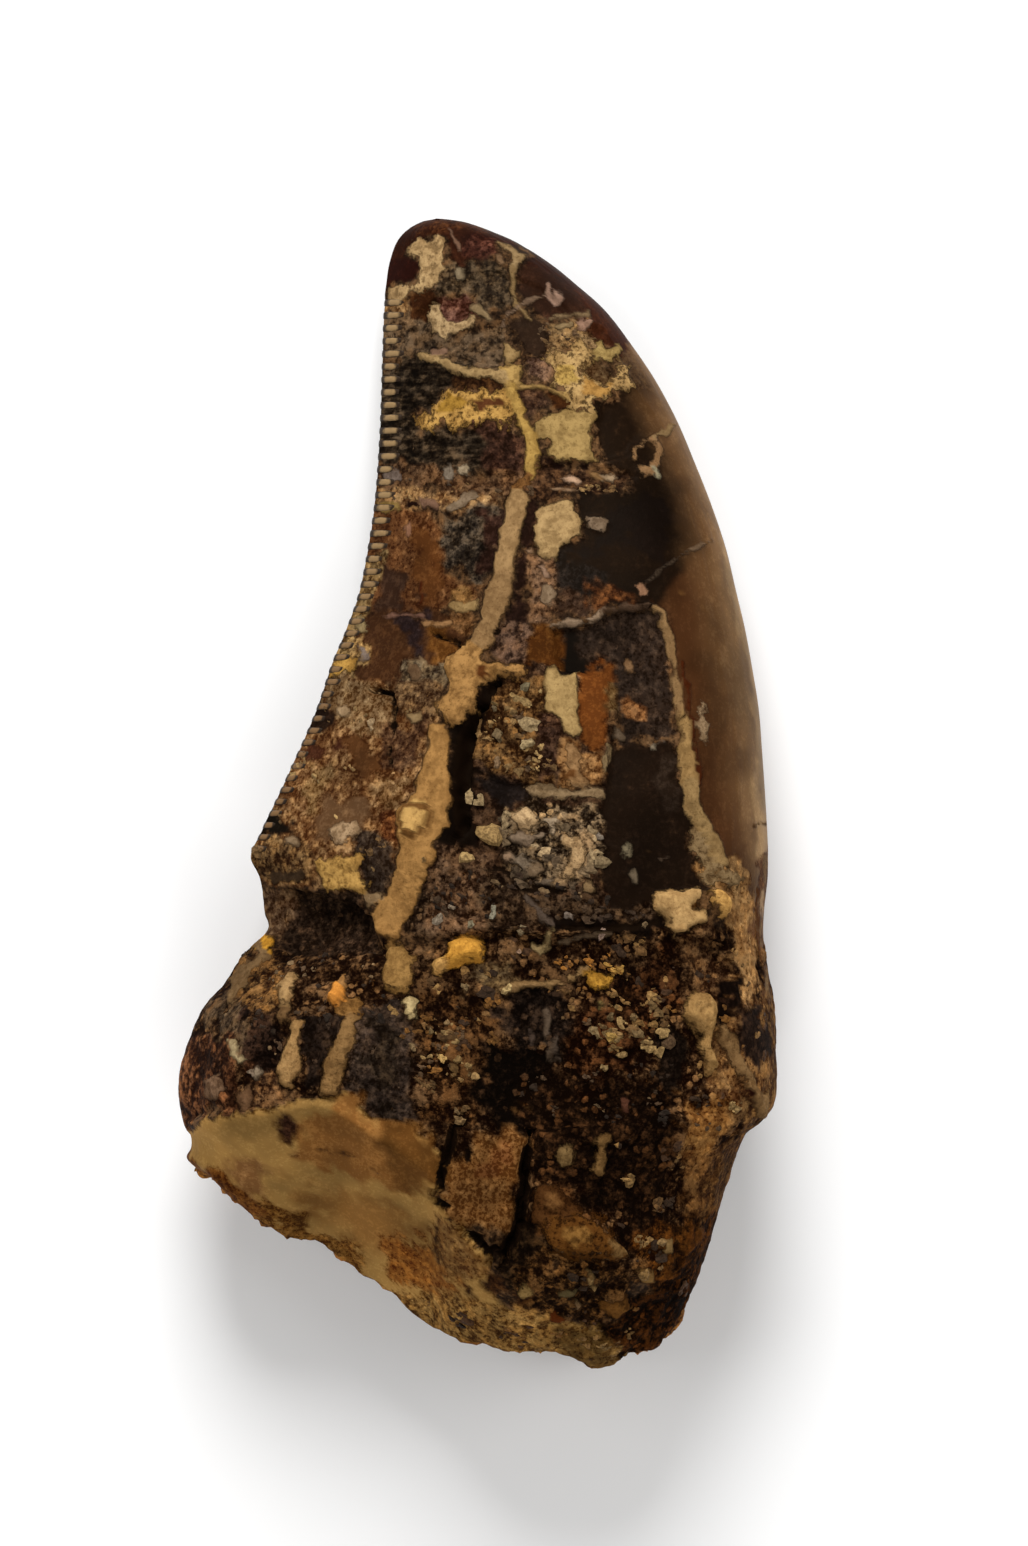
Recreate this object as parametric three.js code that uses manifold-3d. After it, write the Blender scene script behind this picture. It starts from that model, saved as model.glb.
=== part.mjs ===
// A fossil theropod tooth: a recurved crown with a serrated hind edge, flaked enamel, mineral veins
// and a broken stub of root. It is one cemented piece, so it is one solid, and it lies on its flatter side.
//
// Millimetres. +Y runs along the tooth to its tip, +X across it to the smooth front edge, +Z up from
// the surface that it lies on. The origin is on that surface, under the middle of the tooth.
import * as THREE from "three";
import { mergeVertices } from "three/addons/utils/BufferGeometryUtils.js";
import Module from "manifold-3d";

const wasm = await Module();
wasm.setup();

// ---------------------------------------------------------------- driving dimensions

// Sections from the tip to the break: the hind edge's x and y, the front edge's x and y, then the
// heights of the edges, of the upper face and of the lower face.
const SECTIONS = [
  [-1.7, 23.0, -1.7, 23.0, 1.9, 1.9, 1.9],
  [-2.2, 22.93, -1.05, 22.97, 1.9, 2.5, 1.3],
  [-2.65, 22.72, -0.35, 22.83, 1.95, 2.95, 0.95],
  [-3.05, 22.4, 0.55, 22.5, 2.0, 3.35, 0.7],
  [-3.35, 21.95, 1.6, 22.03, 2.05, 3.7, 0.45],
  [-3.6, 21.15, 2.9, 21.2, 2.15, 4.15, 0.25],
  [-3.72, 20.3, 4.0, 20.3, 2.3, 4.55, 0.1],
  [-3.83, 19.3, 5.1, 19.3, 2.5, 4.95, 0],
  [-3.88, 18.0, 6.1, 18.0, 2.75, 5.4, 0],
  [-3.92, 16.5, 7.1, 16.5, 3.0, 5.9, 0],
  [-3.97, 14.8, 8.0, 14.8, 3.3, 6.45, 0.05],
  [-4.07, 13.0, 8.75, 13.0, 3.6, 7.0, 0.15],
  [-4.2, 11.4, 9.37, 11.4, 3.8, 7.5, 0.25],
  [-4.45, 9.7, 9.93, 9.7, 4.05, 8.05, 0.3],
  [-4.78, 8.0, 10.33, 8.0, 4.3, 8.6, 0.3],
  [-5.28, 6.5, 10.68, 6.5, 4.5, 9.1, 0.3],
  [-5.9, 5.0, 10.97, 4.9, 4.7, 9.6, 0.25],
  [-6.5, 3.2, 11.23, 3.2, 4.9, 10.2, 0.15],
  [-7.27, 1.4, 11.37, 1.4, 5.1, 10.7, 0.05],
  [-8.05, -0.3, 11.48, -0.3, 5.3, 11.2, 0],
  [-8.75, -1.8, 11.56, -1.8, 5.45, 11.5, 0],
  [-9.07, -2.7, 11.58, -2.7, 5.5, 11.65, 0],
  [-8.68, -3.65, 11.56, -3.6, 5.55, 11.75, 0],
  [-8.52, -4.9, 11.42, -4.9, 5.6, 11.85, 0],
  [-8.4, -5.6, 11.4, -6.0, 5.7, 11.9, 0],
  [-9.3, -6.5, 11.6, -7.3, 5.8, 12.0, 0],
  [-10.1, -7.7, 11.8, -8.6, 5.9, 12.1, 0],
  [-10.95, -8.7, 11.9, -10.0, 5.95, 12.2, 0],
  [-11.5, -9.9, 11.93, -11.4, 6.0, 12.2, 0],
  [-11.85, -11.1, 11.8, -12.6, 6.0, 12.1, 0],
  [-11.93, -12.3, 11.3, -13.2, 5.9, 12.0, 0],
  [-11.75, -13.2, 10.7, -13.7, 5.8, 11.8, 0.1],
  [-11.45, -13.8, 10.25, -14.9, 5.6, 11.6, 0.3],
  [-11.45, -14.3, 9.7, -16.6, 5.3, 11.3, 0.6],
  [-11.65, -14.7, 9.2, -18.3, 5.0, 11.0, 0.9],
  [-11.3, -15.1, 8.65, -19.9, 4.6, 10.7, 1.2],
];
const CROWN_END = 23; // the section where the crown's wedge shape starts to turn into the root's oval
const ROOT_START = 27; // the section from where the root is fully oval, and its lower end starts to bulge

// The broken lower end seen from above, from the hind edge to the front edge.
const BREAK_EDGE = [
  [-11.3, -15.1], [-10.6, -15.45], [-10.0, -16.1], [-9.0, -16.9], [-8.0, -17.65], [-7.3, -17.95],
  [-6.5, -18.0], [-5.8, -18.35], [-4.7, -19.3], [-3.9, -19.65], [-3.2, -20.3], [-2.6, -20.95],
  [-2.0, -21.4], [-1.0, -21.8], [0.2, -22.0], [1.4, -22.3], [3.2, -22.3], [4.0, -22.65],
  [4.8, -23.0], [5.4, -22.85], [5.9, -22.4], [7.2, -22.1], [7.8, -21.55], [8.2, -20.6], [8.65, -19.9],
];
// The rim where the upper face breaks off and falls towards that end.
const BREAK_RIM = [
  [-12.5, -14.2], [-11.2, -13.7], [-10.2, -13.2], [-8.0, -12.7], [-6.3, -12.2], [-5.2, -12.6],
  [-4.4, -13.4], [-3.2, -14.1], [-1.9, -15.0], [-1.2, -16.6], [0.0, -18.0], [1.2, -18.9],
  [3.0, -19.3], [6.0, -19.1], [8.0, -18.8], [9.8, -18.0],
];
const BREAK_SLOPE = 0.85; // fall of the broken face for each millimetre below its rim
const BREAK_INSET = 0.45; // how far the broken end's wall is dented in at half its height

// The sections' shape: where the upper face is highest, as a share of the width, and how full it is.
const CREST = 0.64;
const HIND_FULLNESS = 2.3;
const FRONT_FULLNESS = 2.6;
const ROOT_FULLNESS = 3.2;
const UNDERSIDE_FLATNESS = 1.1; // above 1, the lower face is cut off flat where it rests

// Rows of the mesh: along the tooth, over its upper face and under its lower face.
const ALONG = 46;
const OVER = 18;
const UNDER = 8;

// Serrations of the hind edge: they stand on its edge and blend into its side.
const SERRATED = { from: 19.6, to: -2.6, pitch: 0.52, width: 0.34, gap_depth: 0.3 };
// Half of one serration, seen along the edge: distance in from its tip, and half its height there.
const SERRATION_SIDE = [[0, 0.13], [0.25, 0.4], [0.8, 0.46]];

// Rounded swellings of the root's upper face: x, y, radius and height.
const SWELLINGS = [
  [-10.6, -12.0, 1.3, 0.8], [-10.3, -9.6, 1.5, 0.6], [-9.3, -7.4, 1.1, 0.4], [-3.6, -10.7, 1.6, 0.35],
  [10.5, -9.5, 1.2, 0.5], [10.7, -12.3, 1.0, 0.7], [4.6, -17.8, 1.3, 0.6], [4.9, -22.2, 0.9, 0.5],
  [7.0, -9.0, 1.4, 0.3], [1.2, -8.4, 1.2, -0.3], [3.2, -11.5, 1.3, -0.45], [8.0, -15.5, 1.5, -0.4],
];

// Places where a flake is gone, each with the depth that is missing.
const FLAKED = {
  front_ledge: { depth: 0.4, outline: [
    [2.9, 6.4], [4.8, 6.8], [5.3, 7.05], [6.4, 7.25], [7.3, 7.1], [7.7, 5.6], [7.95, 3.8],
    [8.15, 2.0], [8.35, 0.2], [8.75, -1.3], [9.3, -2.4], [9.6, -3.6], [8.9, -3.8], [8.8, -5.4],
    [5.1, -5.5], [4.9, -2.5], [4.9, 0.3], [5.3, 1.6], [5.5, 3.2], [5.1, 4.4], [4.0, 4.7], [3.2, 4.7]] },
  middle: { depth: 0.3, outline: [
    [-0.9, -2.4], [-0.2, -1.9], [0.0, 0.7], [1.4, 0.4], [2.6, 0.15], [5.2, 0.2], [5.3, -2.5],
    [5.5, -5.3], [3.2, -5.65], [0.6, -5.3], [-1.2, -5.0], [-1.4, -3.6]] },
  neck: { depth: 0.45, outline: [
    [-13, -5.6], [-8.4, -5.8], [-3.9, -6.0], [0.6, -5.5], [3.3, -5.8], [7.4, -5.4], [9.9, -6.0],
    [10.3, -9.0], [10.0, -13.0], [8.0, -12.6], [5.0, -13.2], [2.0, -13.4], [-1.0, -13.3],
    [-3.3, -13.8], [-4.6, -12.9], [-6.3, -12.2], [-9.5, -12.8], [-13, -13.4]] },
  hind_shadow: { depth: 0.8, outline: [
    [-8.2, -4.3], [-7.4, -4.0], [-6.4, -4.2], [-5.0, -4.5], [-4.1, -5.1], [-3.9, -6.1], [-6.0, -6.3],
    [-8.2, -6.0]] },
  tip_face: { depth: 0.18, outline: [
    [-2.6, 19.2], [-1.0, 20.2], [0.6, 20.9], [2.4, 20.3], [3.6, 19.2], [4.9, 18.4], [5.4, 17.3],
    [3.2, 17.6], [1.2, 16.9], [-0.8, 17.1], [-2.6, 17.8]] },
};

// The same on the lower face, clear of the flat that it rests on.
const FLAKED_BELOW = {
  crown_flake: { depth: 0.35, outline: [
    [-2.6, 9.6], [-0.6, 10.8], [1.8, 10.2], [3.4, 8.4], [4.3, 5.2], [3.4, 2.6], [1.2, 3.3],
    [-0.8, 2.4], [-2.4, 4.6]] },
  front_flake: { depth: 0.3, outline: [
    [7.6, 5.0], [8.6, 2.6], [9.2, -1.4], [8.2, -3.0], [7.4, -1.0], [7.0, 2.2]] },
  root_flake: { depth: 0.5, outline: [
    [-11.2, -9.2], [-8.8, -8.0], [-7.6, -9.4], [-7.9, -11.6], [-9.2, -13.2], [-11.4, -12.6]] },
  break_flake: { depth: 0.8, outline: [
    [-3.0, -15.6], [-0.4, -14.6], [2.6, -15.2], [5.2, -16.8], [6.0, -19.4], [3.4, -20.4],
    [0.2, -19.8], [-2.2, -18.2]] },
};

// Open clefts and cracks: the line that each one follows, its width and its depth.
const CLEFTS = {
  vein_cleft: { width: 0.85, depth: 1.3, line: [[-0.65, 3.1], [-0.65, 1.5], [-0.6, -0.4], [-0.75, -2.2]] },
  hind_crack: { width: 0.28, depth: 0.6, line: [[-4.3, 4.0], [-3.7, 3.85], [-3.4, 3.4], [-3.5, 2.2]] },
  root_cleft_a: { width: 0.5, depth: 1.1, line: [[-0.5, -13.1], [-1.1, -14.6], [-1.5, -16.2]] },
  root_cleft_b: { width: 0.55, depth: 1.3,
    line: [[2.25, -12.4], [1.9, -15.0], [1.75, -16.4], [1.1, -17.8], [0.8, -18.8]] },
  root_cleft_c: { width: 0.5, depth: 0.8, line: [[-0.6, -16.9], [0.2, -17.7], [0.8, -18.0]] },
};

// Mineral veins and slivers that stand proud: the line, the width at each end and the height.
const RIDGES = {
  vein_upper: { widths: [0.35, 0.5], height: 0.2,
    line: [[1.35, 16.3], [1.6, 15.2], [1.95, 14.2], [2.05, 13.4], [1.8, 12.3]] },
  vein_middle: { widths: [0.5, 0.85], height: 0.25,
    line: [[1.75, 11.6], [1.3, 9.8], [0.85, 8.0], [0.35, 6.2], [-0.3, 4.9], [-1.2, 3.2]] },
  vein_lower: { widths: [0.9, 1.15], height: 0.3,
    line: [[-1.55, 2.6], [-1.65, 0.6], [-2.0, -1.2], [-2.7, -3.2], [-3.6, -5.5]] },
  root_sliver_a: { widths: [0.5, 0.7], height: 0.25, line: [[-7.2, -8.7], [-7.45, -10.4], [-7.8, -12.0]] },
  root_sliver_b: { widths: [0.6, 0.8], height: 0.2, line: [[-5.2, -8.6], [-5.7, -10.4], [-6.2, -12.0]] },
  front_fibre: { widths: [0.8, 0.5], height: 0.15, line: [[8.9, -8.4], [9.25, -9.8], [9.4, -11.4]] },
};

// Stones and mineral knobs cemented to the face: x, y, then half their size in X, Y and Z.
const KNOBS = [
  [-0.75, -6.35, 1.05, 0.6, 0.55], [-5.6, -7.65, 0.35, 0.5, 0.4], [7.9, -4.5, 0.95, 0.75, 0.6],
  [9.5, -4.2, 0.6, 0.6, 0.45], [8.85, -8.5, 0.7, 0.65, 0.5], [0.05, -0.6, 0.25, 0.4, 0.4],
  [0.3, -1.6, 0.35, 0.4, 0.4], [1.8, -0.95, 0.55, 0.35, 0.4], [-2.6, -8.4, 0.45, 0.4, 0.35],
  [3.4, -14.2, 0.45, 0.5, 0.4], [4.7, -14.5, 0.35, 0.55, 0.4], [-3.1, -6.9, 0.55, 0.75, 0.4],
  [0.4, -15.4, 1.0, 1.6, 0.5],
];

// ---------------------------------------------------------------- the tooth's surface

const clamp = THREE.MathUtils.clamp;
const smoothstep = THREE.MathUtils.smoothstep;

// The value at t of a smooth curve through rows of numbers, which stand at t = 0, 1, 2 and so on.
function smoothRow(rows, t) {
  const i = clamp(Math.floor(t), 0, rows.length - 2);
  const f = t - i;
  const before = rows[Math.max(i - 1, 0)];
  const after = rows[Math.min(i + 2, rows.length - 1)];
  return rows[i].map((a, k) => {
    const b = rows[i + 1][k];
    const inSlope = (b - before[k]) / 2;
    const outSlope = (after[k] - a) / 2;
    const bend = 2 * (a - b) + inSlope + outSlope;
    return a + f * (inSlope + f * (3 * (b - a) - 2 * inSlope - outSlope + f * bend));
  });
}

// The y of a line of points at x, straight between the points.
function lineAt(points, x) {
  const i = clamp(points.filter((p) => p[0] <= x).length, 1, points.length - 1);
  const [a, b] = [points[i - 1], points[i]];
  return a[1] + ((b[1] - a[1]) * clamp(x - a[0], 0, b[0] - a[0])) / (b[0] - a[0]);
}

// How full the upper face is at w, from 0 at the hind edge to 1 at the front edge.
function fullness(w, rootShare) {
  const hind = 1 - Math.pow(Math.max(1 - w / CREST, 0), HIND_FULLNESS);
  const front = Math.sqrt(1 - Math.pow(Math.max(w - CREST, 0) / (1 - CREST), FRONT_FULLNESS));
  const oval = Math.sqrt(1 - Math.pow(Math.abs(2 * w - 1), ROOT_FULLNESS));
  return THREE.MathUtils.lerp(w < CREST ? hind : front, oval, rootShare);
}

function swelling(x, y) {
  return SWELLINGS.reduce((sum, [sx, sy, r, h]) => sum + h * Math.exp(-((x - sx) ** 2 + (y - sy) ** 2) / (r * r)), 0);
}

// A point of the surface: t is the section and w the place across it. Each lift moves its own face outwards.
function surfacePoint(t, w, upper, lift, lowerLift) {
  const [hindX, hindY, frontX, frontY, edge, top, rest] = smoothRow(SECTIONS, t);
  const bottom = Math.max(rest, 0);
  const rootShare = smoothstep(t, CROWN_END, ROOT_START);
  const serrated = smoothstep(SERRATED.from + 0.4 - hindY, 0, 0.4) * smoothstep(hindY - SERRATED.to, 0, 0.8);
  const hind = hindX + SERRATED.gap_depth * serrated;
  const x = THREE.MathUtils.lerp(hind, frontX, w);
  const last = SECTIONS.length - 1;
  const [endX, endY, farX, farY] = SECTIONS[last];
  const bulge = lineAt(BREAK_EDGE, THREE.MathUtils.lerp(endX, farX, w)) - THREE.MathUtils.lerp(endY, farY, w);
  const bulgeShare = smoothstep(t, ROOT_START, last);
  const y = THREE.MathUtils.lerp(hindY, frontY, w) + bulge * bulgeShare;
  const full = fullness(w, rootShare);
  if (!upper) {
    const flat = Math.min(full * UNDERSIDE_FLATNESS, 1);
    return new THREE.Vector3(x, y, edge - (edge - bottom + lowerLift) * flat);
  }
  const fall = BREAK_SLOPE * Math.max(lineAt(BREAK_RIM, x) - y, 0);
  const height = Math.max(top - edge - fall + swelling(x, y), 0.6) + lift;
  return new THREE.Vector3(x, y, edge + height * full);
}

// The whole tooth as one closed surface: rings from the tip to the break, then the wall of the break.
function toothSolid(lift = 0, lowerLift = 0) {
  const last = SECTIONS.length - 1;
  const across = (k, count) => (1 - Math.cos((Math.PI * k) / count)) / 2;
  const points = [surfacePoint(0, 0.5, true, 0, 0)];
  const triangles = [];
  const rings = [];
  const addPoint = (point) => points.push(point) - 1;
  for (let i = 1; i <= ALONG; i++) {
    const t = (last * i) / ALONG;
    const upper = [];
    const lower = [];
    for (let k = 0; k <= OVER; k++) {
      upper.push(addPoint(surfacePoint(t, across(k, OVER), true, lift, lowerLift)));
    }
    for (let k = 1; k < UNDER; k++) {
      lower.push(addPoint(surfacePoint(t, across(k, UNDER), false, lift, lowerLift)));
    }
    rings.push({ upper, lower: [upper[0], ...lower, upper[OVER]] });
  }
  joinRows(triangles, [0], rings[0].upper);
  joinRows(triangles, rings[0].lower, [0]);
  for (let i = 1; i < ALONG; i++) {
    joinRows(triangles, rings[i - 1].upper, rings[i].upper);
    joinRows(triangles, rings[i].lower, rings[i - 1].lower);
  }
  const end = rings[ALONG - 1];
  const wall = end.upper.slice(1, -1).map((corner, k) => {
    const below = surfacePoint(last, across(k + 1, OVER), false, lift, lowerLift);
    const half = points[corner].clone().lerp(below, 0.5 + 0.15 * Math.sin(1.9 * k));
    half.y += BREAK_INSET * (1 + 0.8 * Math.sin(2.7 * k));
    return addPoint(half);
  });
  const middle = [end.upper[0], ...wall, end.upper[OVER]];
  joinRows(triangles, end.upper, middle);
  joinRows(triangles, middle, end.lower);
  return solidFrom(new Float32Array(points.flatMap((p) => p.toArray())), new Uint32Array(triangles));
}

// Joins two rows of points with triangles. Seen from outside, the first row lies above the second.
function joinRows(triangles, first, second) {
  let [i, j] = [0, 0];
  const addTriangle = (a, b, c) => {
    if (a !== b && b !== c && c !== a) triangles.push(a, b, c);
  };
  while (i < first.length - 1 || j < second.length - 1) {
    const stepFirst = (i + 1) / (first.length - 1 || 0.5) <= (j + 1) / (second.length - 1 || 0.5);
    if (stepFirst) {
      addTriangle(first[i], second[j], first[i + 1]);
      i += 1;
    } else {
      addTriangle(first[i], second[j], second[j + 1]);
      j += 1;
    }
  }
}

// ---------------------------------------------------------------- solids

function solidFrom(vertProperties, triVerts) {
  return new wasm.Manifold(new wasm.Mesh({ numProp: 3, vertProperties, triVerts }));
}

function solidOf(geometry) {
  const bare = geometry.index ? geometry.toNonIndexed() : geometry.clone();
  bare.deleteAttribute("normal");
  bare.deleteAttribute("uv");
  const merged = mergeVertices(bare, 1e-4);
  return solidFrom(merged.attributes.position.array, new Uint32Array(merged.index.array));
}

// An upright prism over an outline, tall enough to pass through the whole tooth.
const BELOW = -2;
const ABOVE = 20;
function prism(outline) {
  const shape = new THREE.Shape(outline.map(([x, y]) => new THREE.Vector2(x, y)));
  const upright = new THREE.ExtrudeGeometry(shape, { depth: ABOVE - BELOW, bevelEnabled: false });
  return solidOf(upright.translate(0, 0, BELOW));
}

// The outline of a strip along a line, whose width runs from the first figure to the last.
function strip(line, widths) {
  const curve = new THREE.SplineCurve(line.map(([x, y]) => new THREE.Vector2(x, y)));
  const steps = 2 * (line.length - 1);
  const sides = [[], []];
  for (let i = 0; i <= steps; i++) {
    const at = curve.getPoint(i / steps);
    const along = curve.getTangent(i / steps);
    const half = THREE.MathUtils.lerp(widths[0], widths[1], i / steps) / 2;
    sides[0].push([at.x - along.y * half, at.y + along.x * half]);
    sides[1].unshift([at.x + along.y * half, at.y - along.x * half]);
  }
  return [...sides[0], ...sides[1]];
}

// One serration: a short prism that lies across the edge.
function serration(at, along) {
  const outwards = new THREE.Vector3(-along.y, along.x, 0);
  const side = SERRATION_SIDE;
  const profile = new THREE.Shape([
    ...side.map(([inwards, half]) => new THREE.Vector2(-inwards, half)),
    ...side.map(([inwards, half]) => new THREE.Vector2(-inwards, -half)).reverse(),
  ]);
  const block = new THREE.ExtrudeGeometry(profile, { depth: SERRATED.width, bevelEnabled: false });
  block.translate(0, 0, -SERRATED.width / 2);
  const across = new THREE.Vector3().crossVectors(outwards, new THREE.Vector3(0, 0, 1));
  block.applyMatrix4(new THREE.Matrix4().makeBasis(outwards, new THREE.Vector3(0, 0, 1), across).setPosition(at));
  return solidOf(block);
}

function serrations() {
  const last = SECTIONS.length - 1;
  const samples = 600;
  const edge = [];
  for (let i = 0; i <= samples; i++) {
    const [x, y, , , z] = smoothRow(SECTIONS, (last * i) / samples);
    if (y <= SERRATED.from && y >= SERRATED.to) edge.push(new THREE.Vector3(x, y, z));
  }
  const found = [];
  let walked = SERRATED.pitch;
  for (let i = 1; i < edge.length; i++) {
    walked += edge[i].distanceTo(edge[i - 1]);
    if (walked < SERRATED.pitch) continue;
    walked -= SERRATED.pitch;
    const along = edge[i].clone().sub(edge[i - 1]).setZ(0).normalize();
    found.push(serration(edge[i], along.negate()));
  }
  return found;
}

// The height of a solid's upper face at a place.
function heightsOf(solid) {
  const mesh = new THREE.Mesh(geometryOf(solid));
  const down = new THREE.Vector3(0, 0, -1);
  return (x, y) => new THREE.Raycaster(new THREE.Vector3(x, y, ABOVE), down).intersectObject(mesh)[0].point.z;
}

function knob([x, y, halfX, halfY, halfZ], index, heightAt) {
  const stone = new THREE.IcosahedronGeometry(1, 1).rotateX(index).rotateZ(2 * index);
  return solidOf(stone.scale(halfX, halfY, halfZ).translate(x, y, heightAt(x, y)));
}

function geometryOf(solid) {
  const mesh = solid.getMesh();
  const geometry = new THREE.BufferGeometry();
  geometry.setAttribute("position", new THREE.BufferAttribute(new Float32Array(mesh.vertProperties), 3));
  geometry.setIndex(new THREE.BufferAttribute(new Uint32Array(mesh.triVerts), 1));
  geometry.computeVertexNormals();
  return geometry;
}

// ---------------------------------------------------------------- the tooth

function sink(tooth, outline, depth) {
  return tooth.subtract(prism(outline).subtract(toothSolid(-depth, 1)));
}

function sinkBelow(tooth, outline, depth) {
  return tooth.subtract(prism(outline).subtract(toothSolid(1, -depth)));
}

function raise(tooth, outline, height) {
  return tooth.add(prism(outline).intersect(toothSolid(height, -1)));
}

function buildTooth() {
  let tooth = toothSolid();
  for (const { outline, depth } of Object.values(FLAKED)) tooth = sink(tooth, outline, depth);
  for (const { outline, depth } of Object.values(FLAKED_BELOW)) tooth = sinkBelow(tooth, outline, depth);
  for (const { line, widths, height } of Object.values(RIDGES)) tooth = raise(tooth, strip(line, widths), height);
  for (const { line, width, depth } of Object.values(CLEFTS)) tooth = sink(tooth, strip(line, [width, width]), depth);
  const heightAt = heightsOf(tooth);
  KNOBS.forEach((size, index) => (tooth = tooth.add(knob(size, index, heightAt))));
  for (const block of serrations()) tooth = tooth.add(block);
  return tooth;
}

const enamelBrown = new THREE.MeshStandardMaterial({ color: 0x4a3322, roughness: 0.45, metalness: 0 });

const tooth = new THREE.Mesh(geometryOf(buildTooth()), enamelBrown);
tooth.name = "tooth";

const fossil = new THREE.Group();
fossil.add(tooth);

export default fossil;
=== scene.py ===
import math

import bmesh
import bpy
import numpy as np
from bpy.props import FloatProperty, FloatVectorProperty, IntProperty, PointerProperty
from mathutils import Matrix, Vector


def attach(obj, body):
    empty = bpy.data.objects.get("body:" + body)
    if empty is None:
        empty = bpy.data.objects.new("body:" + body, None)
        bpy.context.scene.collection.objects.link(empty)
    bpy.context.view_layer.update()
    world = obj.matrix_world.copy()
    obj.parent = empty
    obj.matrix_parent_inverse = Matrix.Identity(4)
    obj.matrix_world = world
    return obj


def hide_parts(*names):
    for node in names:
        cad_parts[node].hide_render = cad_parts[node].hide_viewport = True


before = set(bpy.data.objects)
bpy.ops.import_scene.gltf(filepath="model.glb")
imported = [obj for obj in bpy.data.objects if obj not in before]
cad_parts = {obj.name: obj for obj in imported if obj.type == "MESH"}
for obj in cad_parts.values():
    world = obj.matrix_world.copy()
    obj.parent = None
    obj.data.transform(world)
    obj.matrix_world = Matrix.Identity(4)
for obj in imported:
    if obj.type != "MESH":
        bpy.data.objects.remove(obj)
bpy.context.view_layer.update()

bl_info = {
    "name": "Fossil dinosaur tooth",
    "version": (1, 0, 0),
    "blender": (4, 5, 0),
    "location": "3D View > Sidebar > Fossil",
    "description": "Builds a recurved fossil tooth with serrations, flaked enamel, veins and a broken root",
    "category": "Object",
}

# Lengths below are millimetres in the frame's own axes: +Y runs to the tip, +X to the smooth front edge,
# +Z up from the surface that the tooth lies on. MM turns them into Blender's metres. Lines and outlines are
# flat lists, x and y by turns, and colours are 0-255 screen values.
MM = 0.001
SKIN_FACTS = {}  # what the grains need to know of the finished skin

# ---------------------------------------------------------------- the form of the tooth

# Sections from the tip to the break: the hind edge's x and y, the front edge's x and y, then the
# heights of the edges, of the upper face and of the lower face.
SECTIONS = np.array([
    [-1.7, 23.0, -1.7, 23.0, 1.9, 1.9, 1.9],
    [-2.2, 22.93, -1.05, 22.97, 1.9, 2.5, 1.3],
    [-2.65, 22.72, -0.35, 22.83, 1.95, 2.95, 0.95],
    [-3.05, 22.4, 0.55, 22.5, 2.0, 3.35, 0.7],
    [-3.35, 21.95, 1.6, 22.03, 2.05, 3.7, 0.45],
    [-3.6, 21.15, 2.9, 21.2, 2.15, 4.15, 0.25],
    [-3.72, 20.3, 4.0, 20.3, 2.3, 4.55, 0.1],
    [-3.83, 19.3, 5.1, 19.3, 2.5, 4.95, 0],
    [-3.88, 18.0, 6.1, 18.0, 2.75, 5.4, 0],
    [-3.92, 16.5, 7.1, 16.5, 3.0, 5.9, 0],
    [-3.97, 14.8, 8.0, 14.8, 3.3, 6.45, 0.05],
    [-4.07, 13.0, 8.75, 13.0, 3.6, 7.0, 0.15],
    [-4.2, 11.4, 9.37, 11.4, 3.8, 7.5, 0.25],
    [-4.45, 9.7, 9.93, 9.7, 4.05, 8.05, 0.3],
    [-4.78, 8.0, 10.33, 8.0, 4.3, 8.6, 0.3],
    [-5.28, 6.5, 10.68, 6.5, 4.5, 9.1, 0.3],
    [-5.9, 5.0, 10.97, 4.9, 4.7, 9.6, 0.25],
    [-6.5, 3.2, 11.23, 3.2, 4.9, 10.2, 0.15],
    [-7.27, 1.4, 11.37, 1.4, 5.1, 10.7, 0.05],
    [-8.05, -0.3, 11.48, -0.3, 5.3, 11.2, 0],
    [-8.75, -1.8, 11.56, -1.8, 5.45, 11.5, 0],
    [-9.07, -2.7, 11.58, -2.7, 5.5, 11.65, 0],
    [-8.68, -3.65, 11.56, -3.6, 5.55, 11.75, 0],
    [-8.52, -4.9, 11.42, -4.9, 5.6, 11.85, 0],
    [-8.4, -5.6, 11.4, -6.0, 5.7, 11.9, 0],
    [-9.3, -6.5, 11.6, -7.3, 5.8, 12.0, 0],
    [-10.1, -7.7, 11.8, -8.6, 5.9, 12.1, 0],
    [-10.95, -8.7, 11.9, -10.0, 5.95, 12.2, 0],
    [-11.5, -9.9, 11.93, -11.4, 6.0, 12.2, 0],
    [-11.85, -11.1, 11.8, -12.6, 6.0, 12.1, 0],
    [-11.93, -12.3, 11.3, -13.2, 5.9, 12.0, 0],
    [-11.75, -13.2, 10.7, -13.7, 5.8, 11.8, 0.1],
    [-11.45, -13.8, 10.25, -14.9, 5.6, 11.6, 0.3],
    [-11.45, -14.3, 9.7, -16.6, 5.3, 11.3, 0.6],
    [-11.65, -14.7, 9.2, -18.3, 5.0, 11.0, 0.9],
    [-11.3, -15.1, 8.65, -19.9, 4.6, 10.7, 1.2],
])
LAST_SECTION = len(SECTIONS) - 1
CROWN_END = 23  # the section where the crown's wedge starts to turn into the root's oval
ROOT_START = 27  # the section from where the root is fully oval

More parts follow.
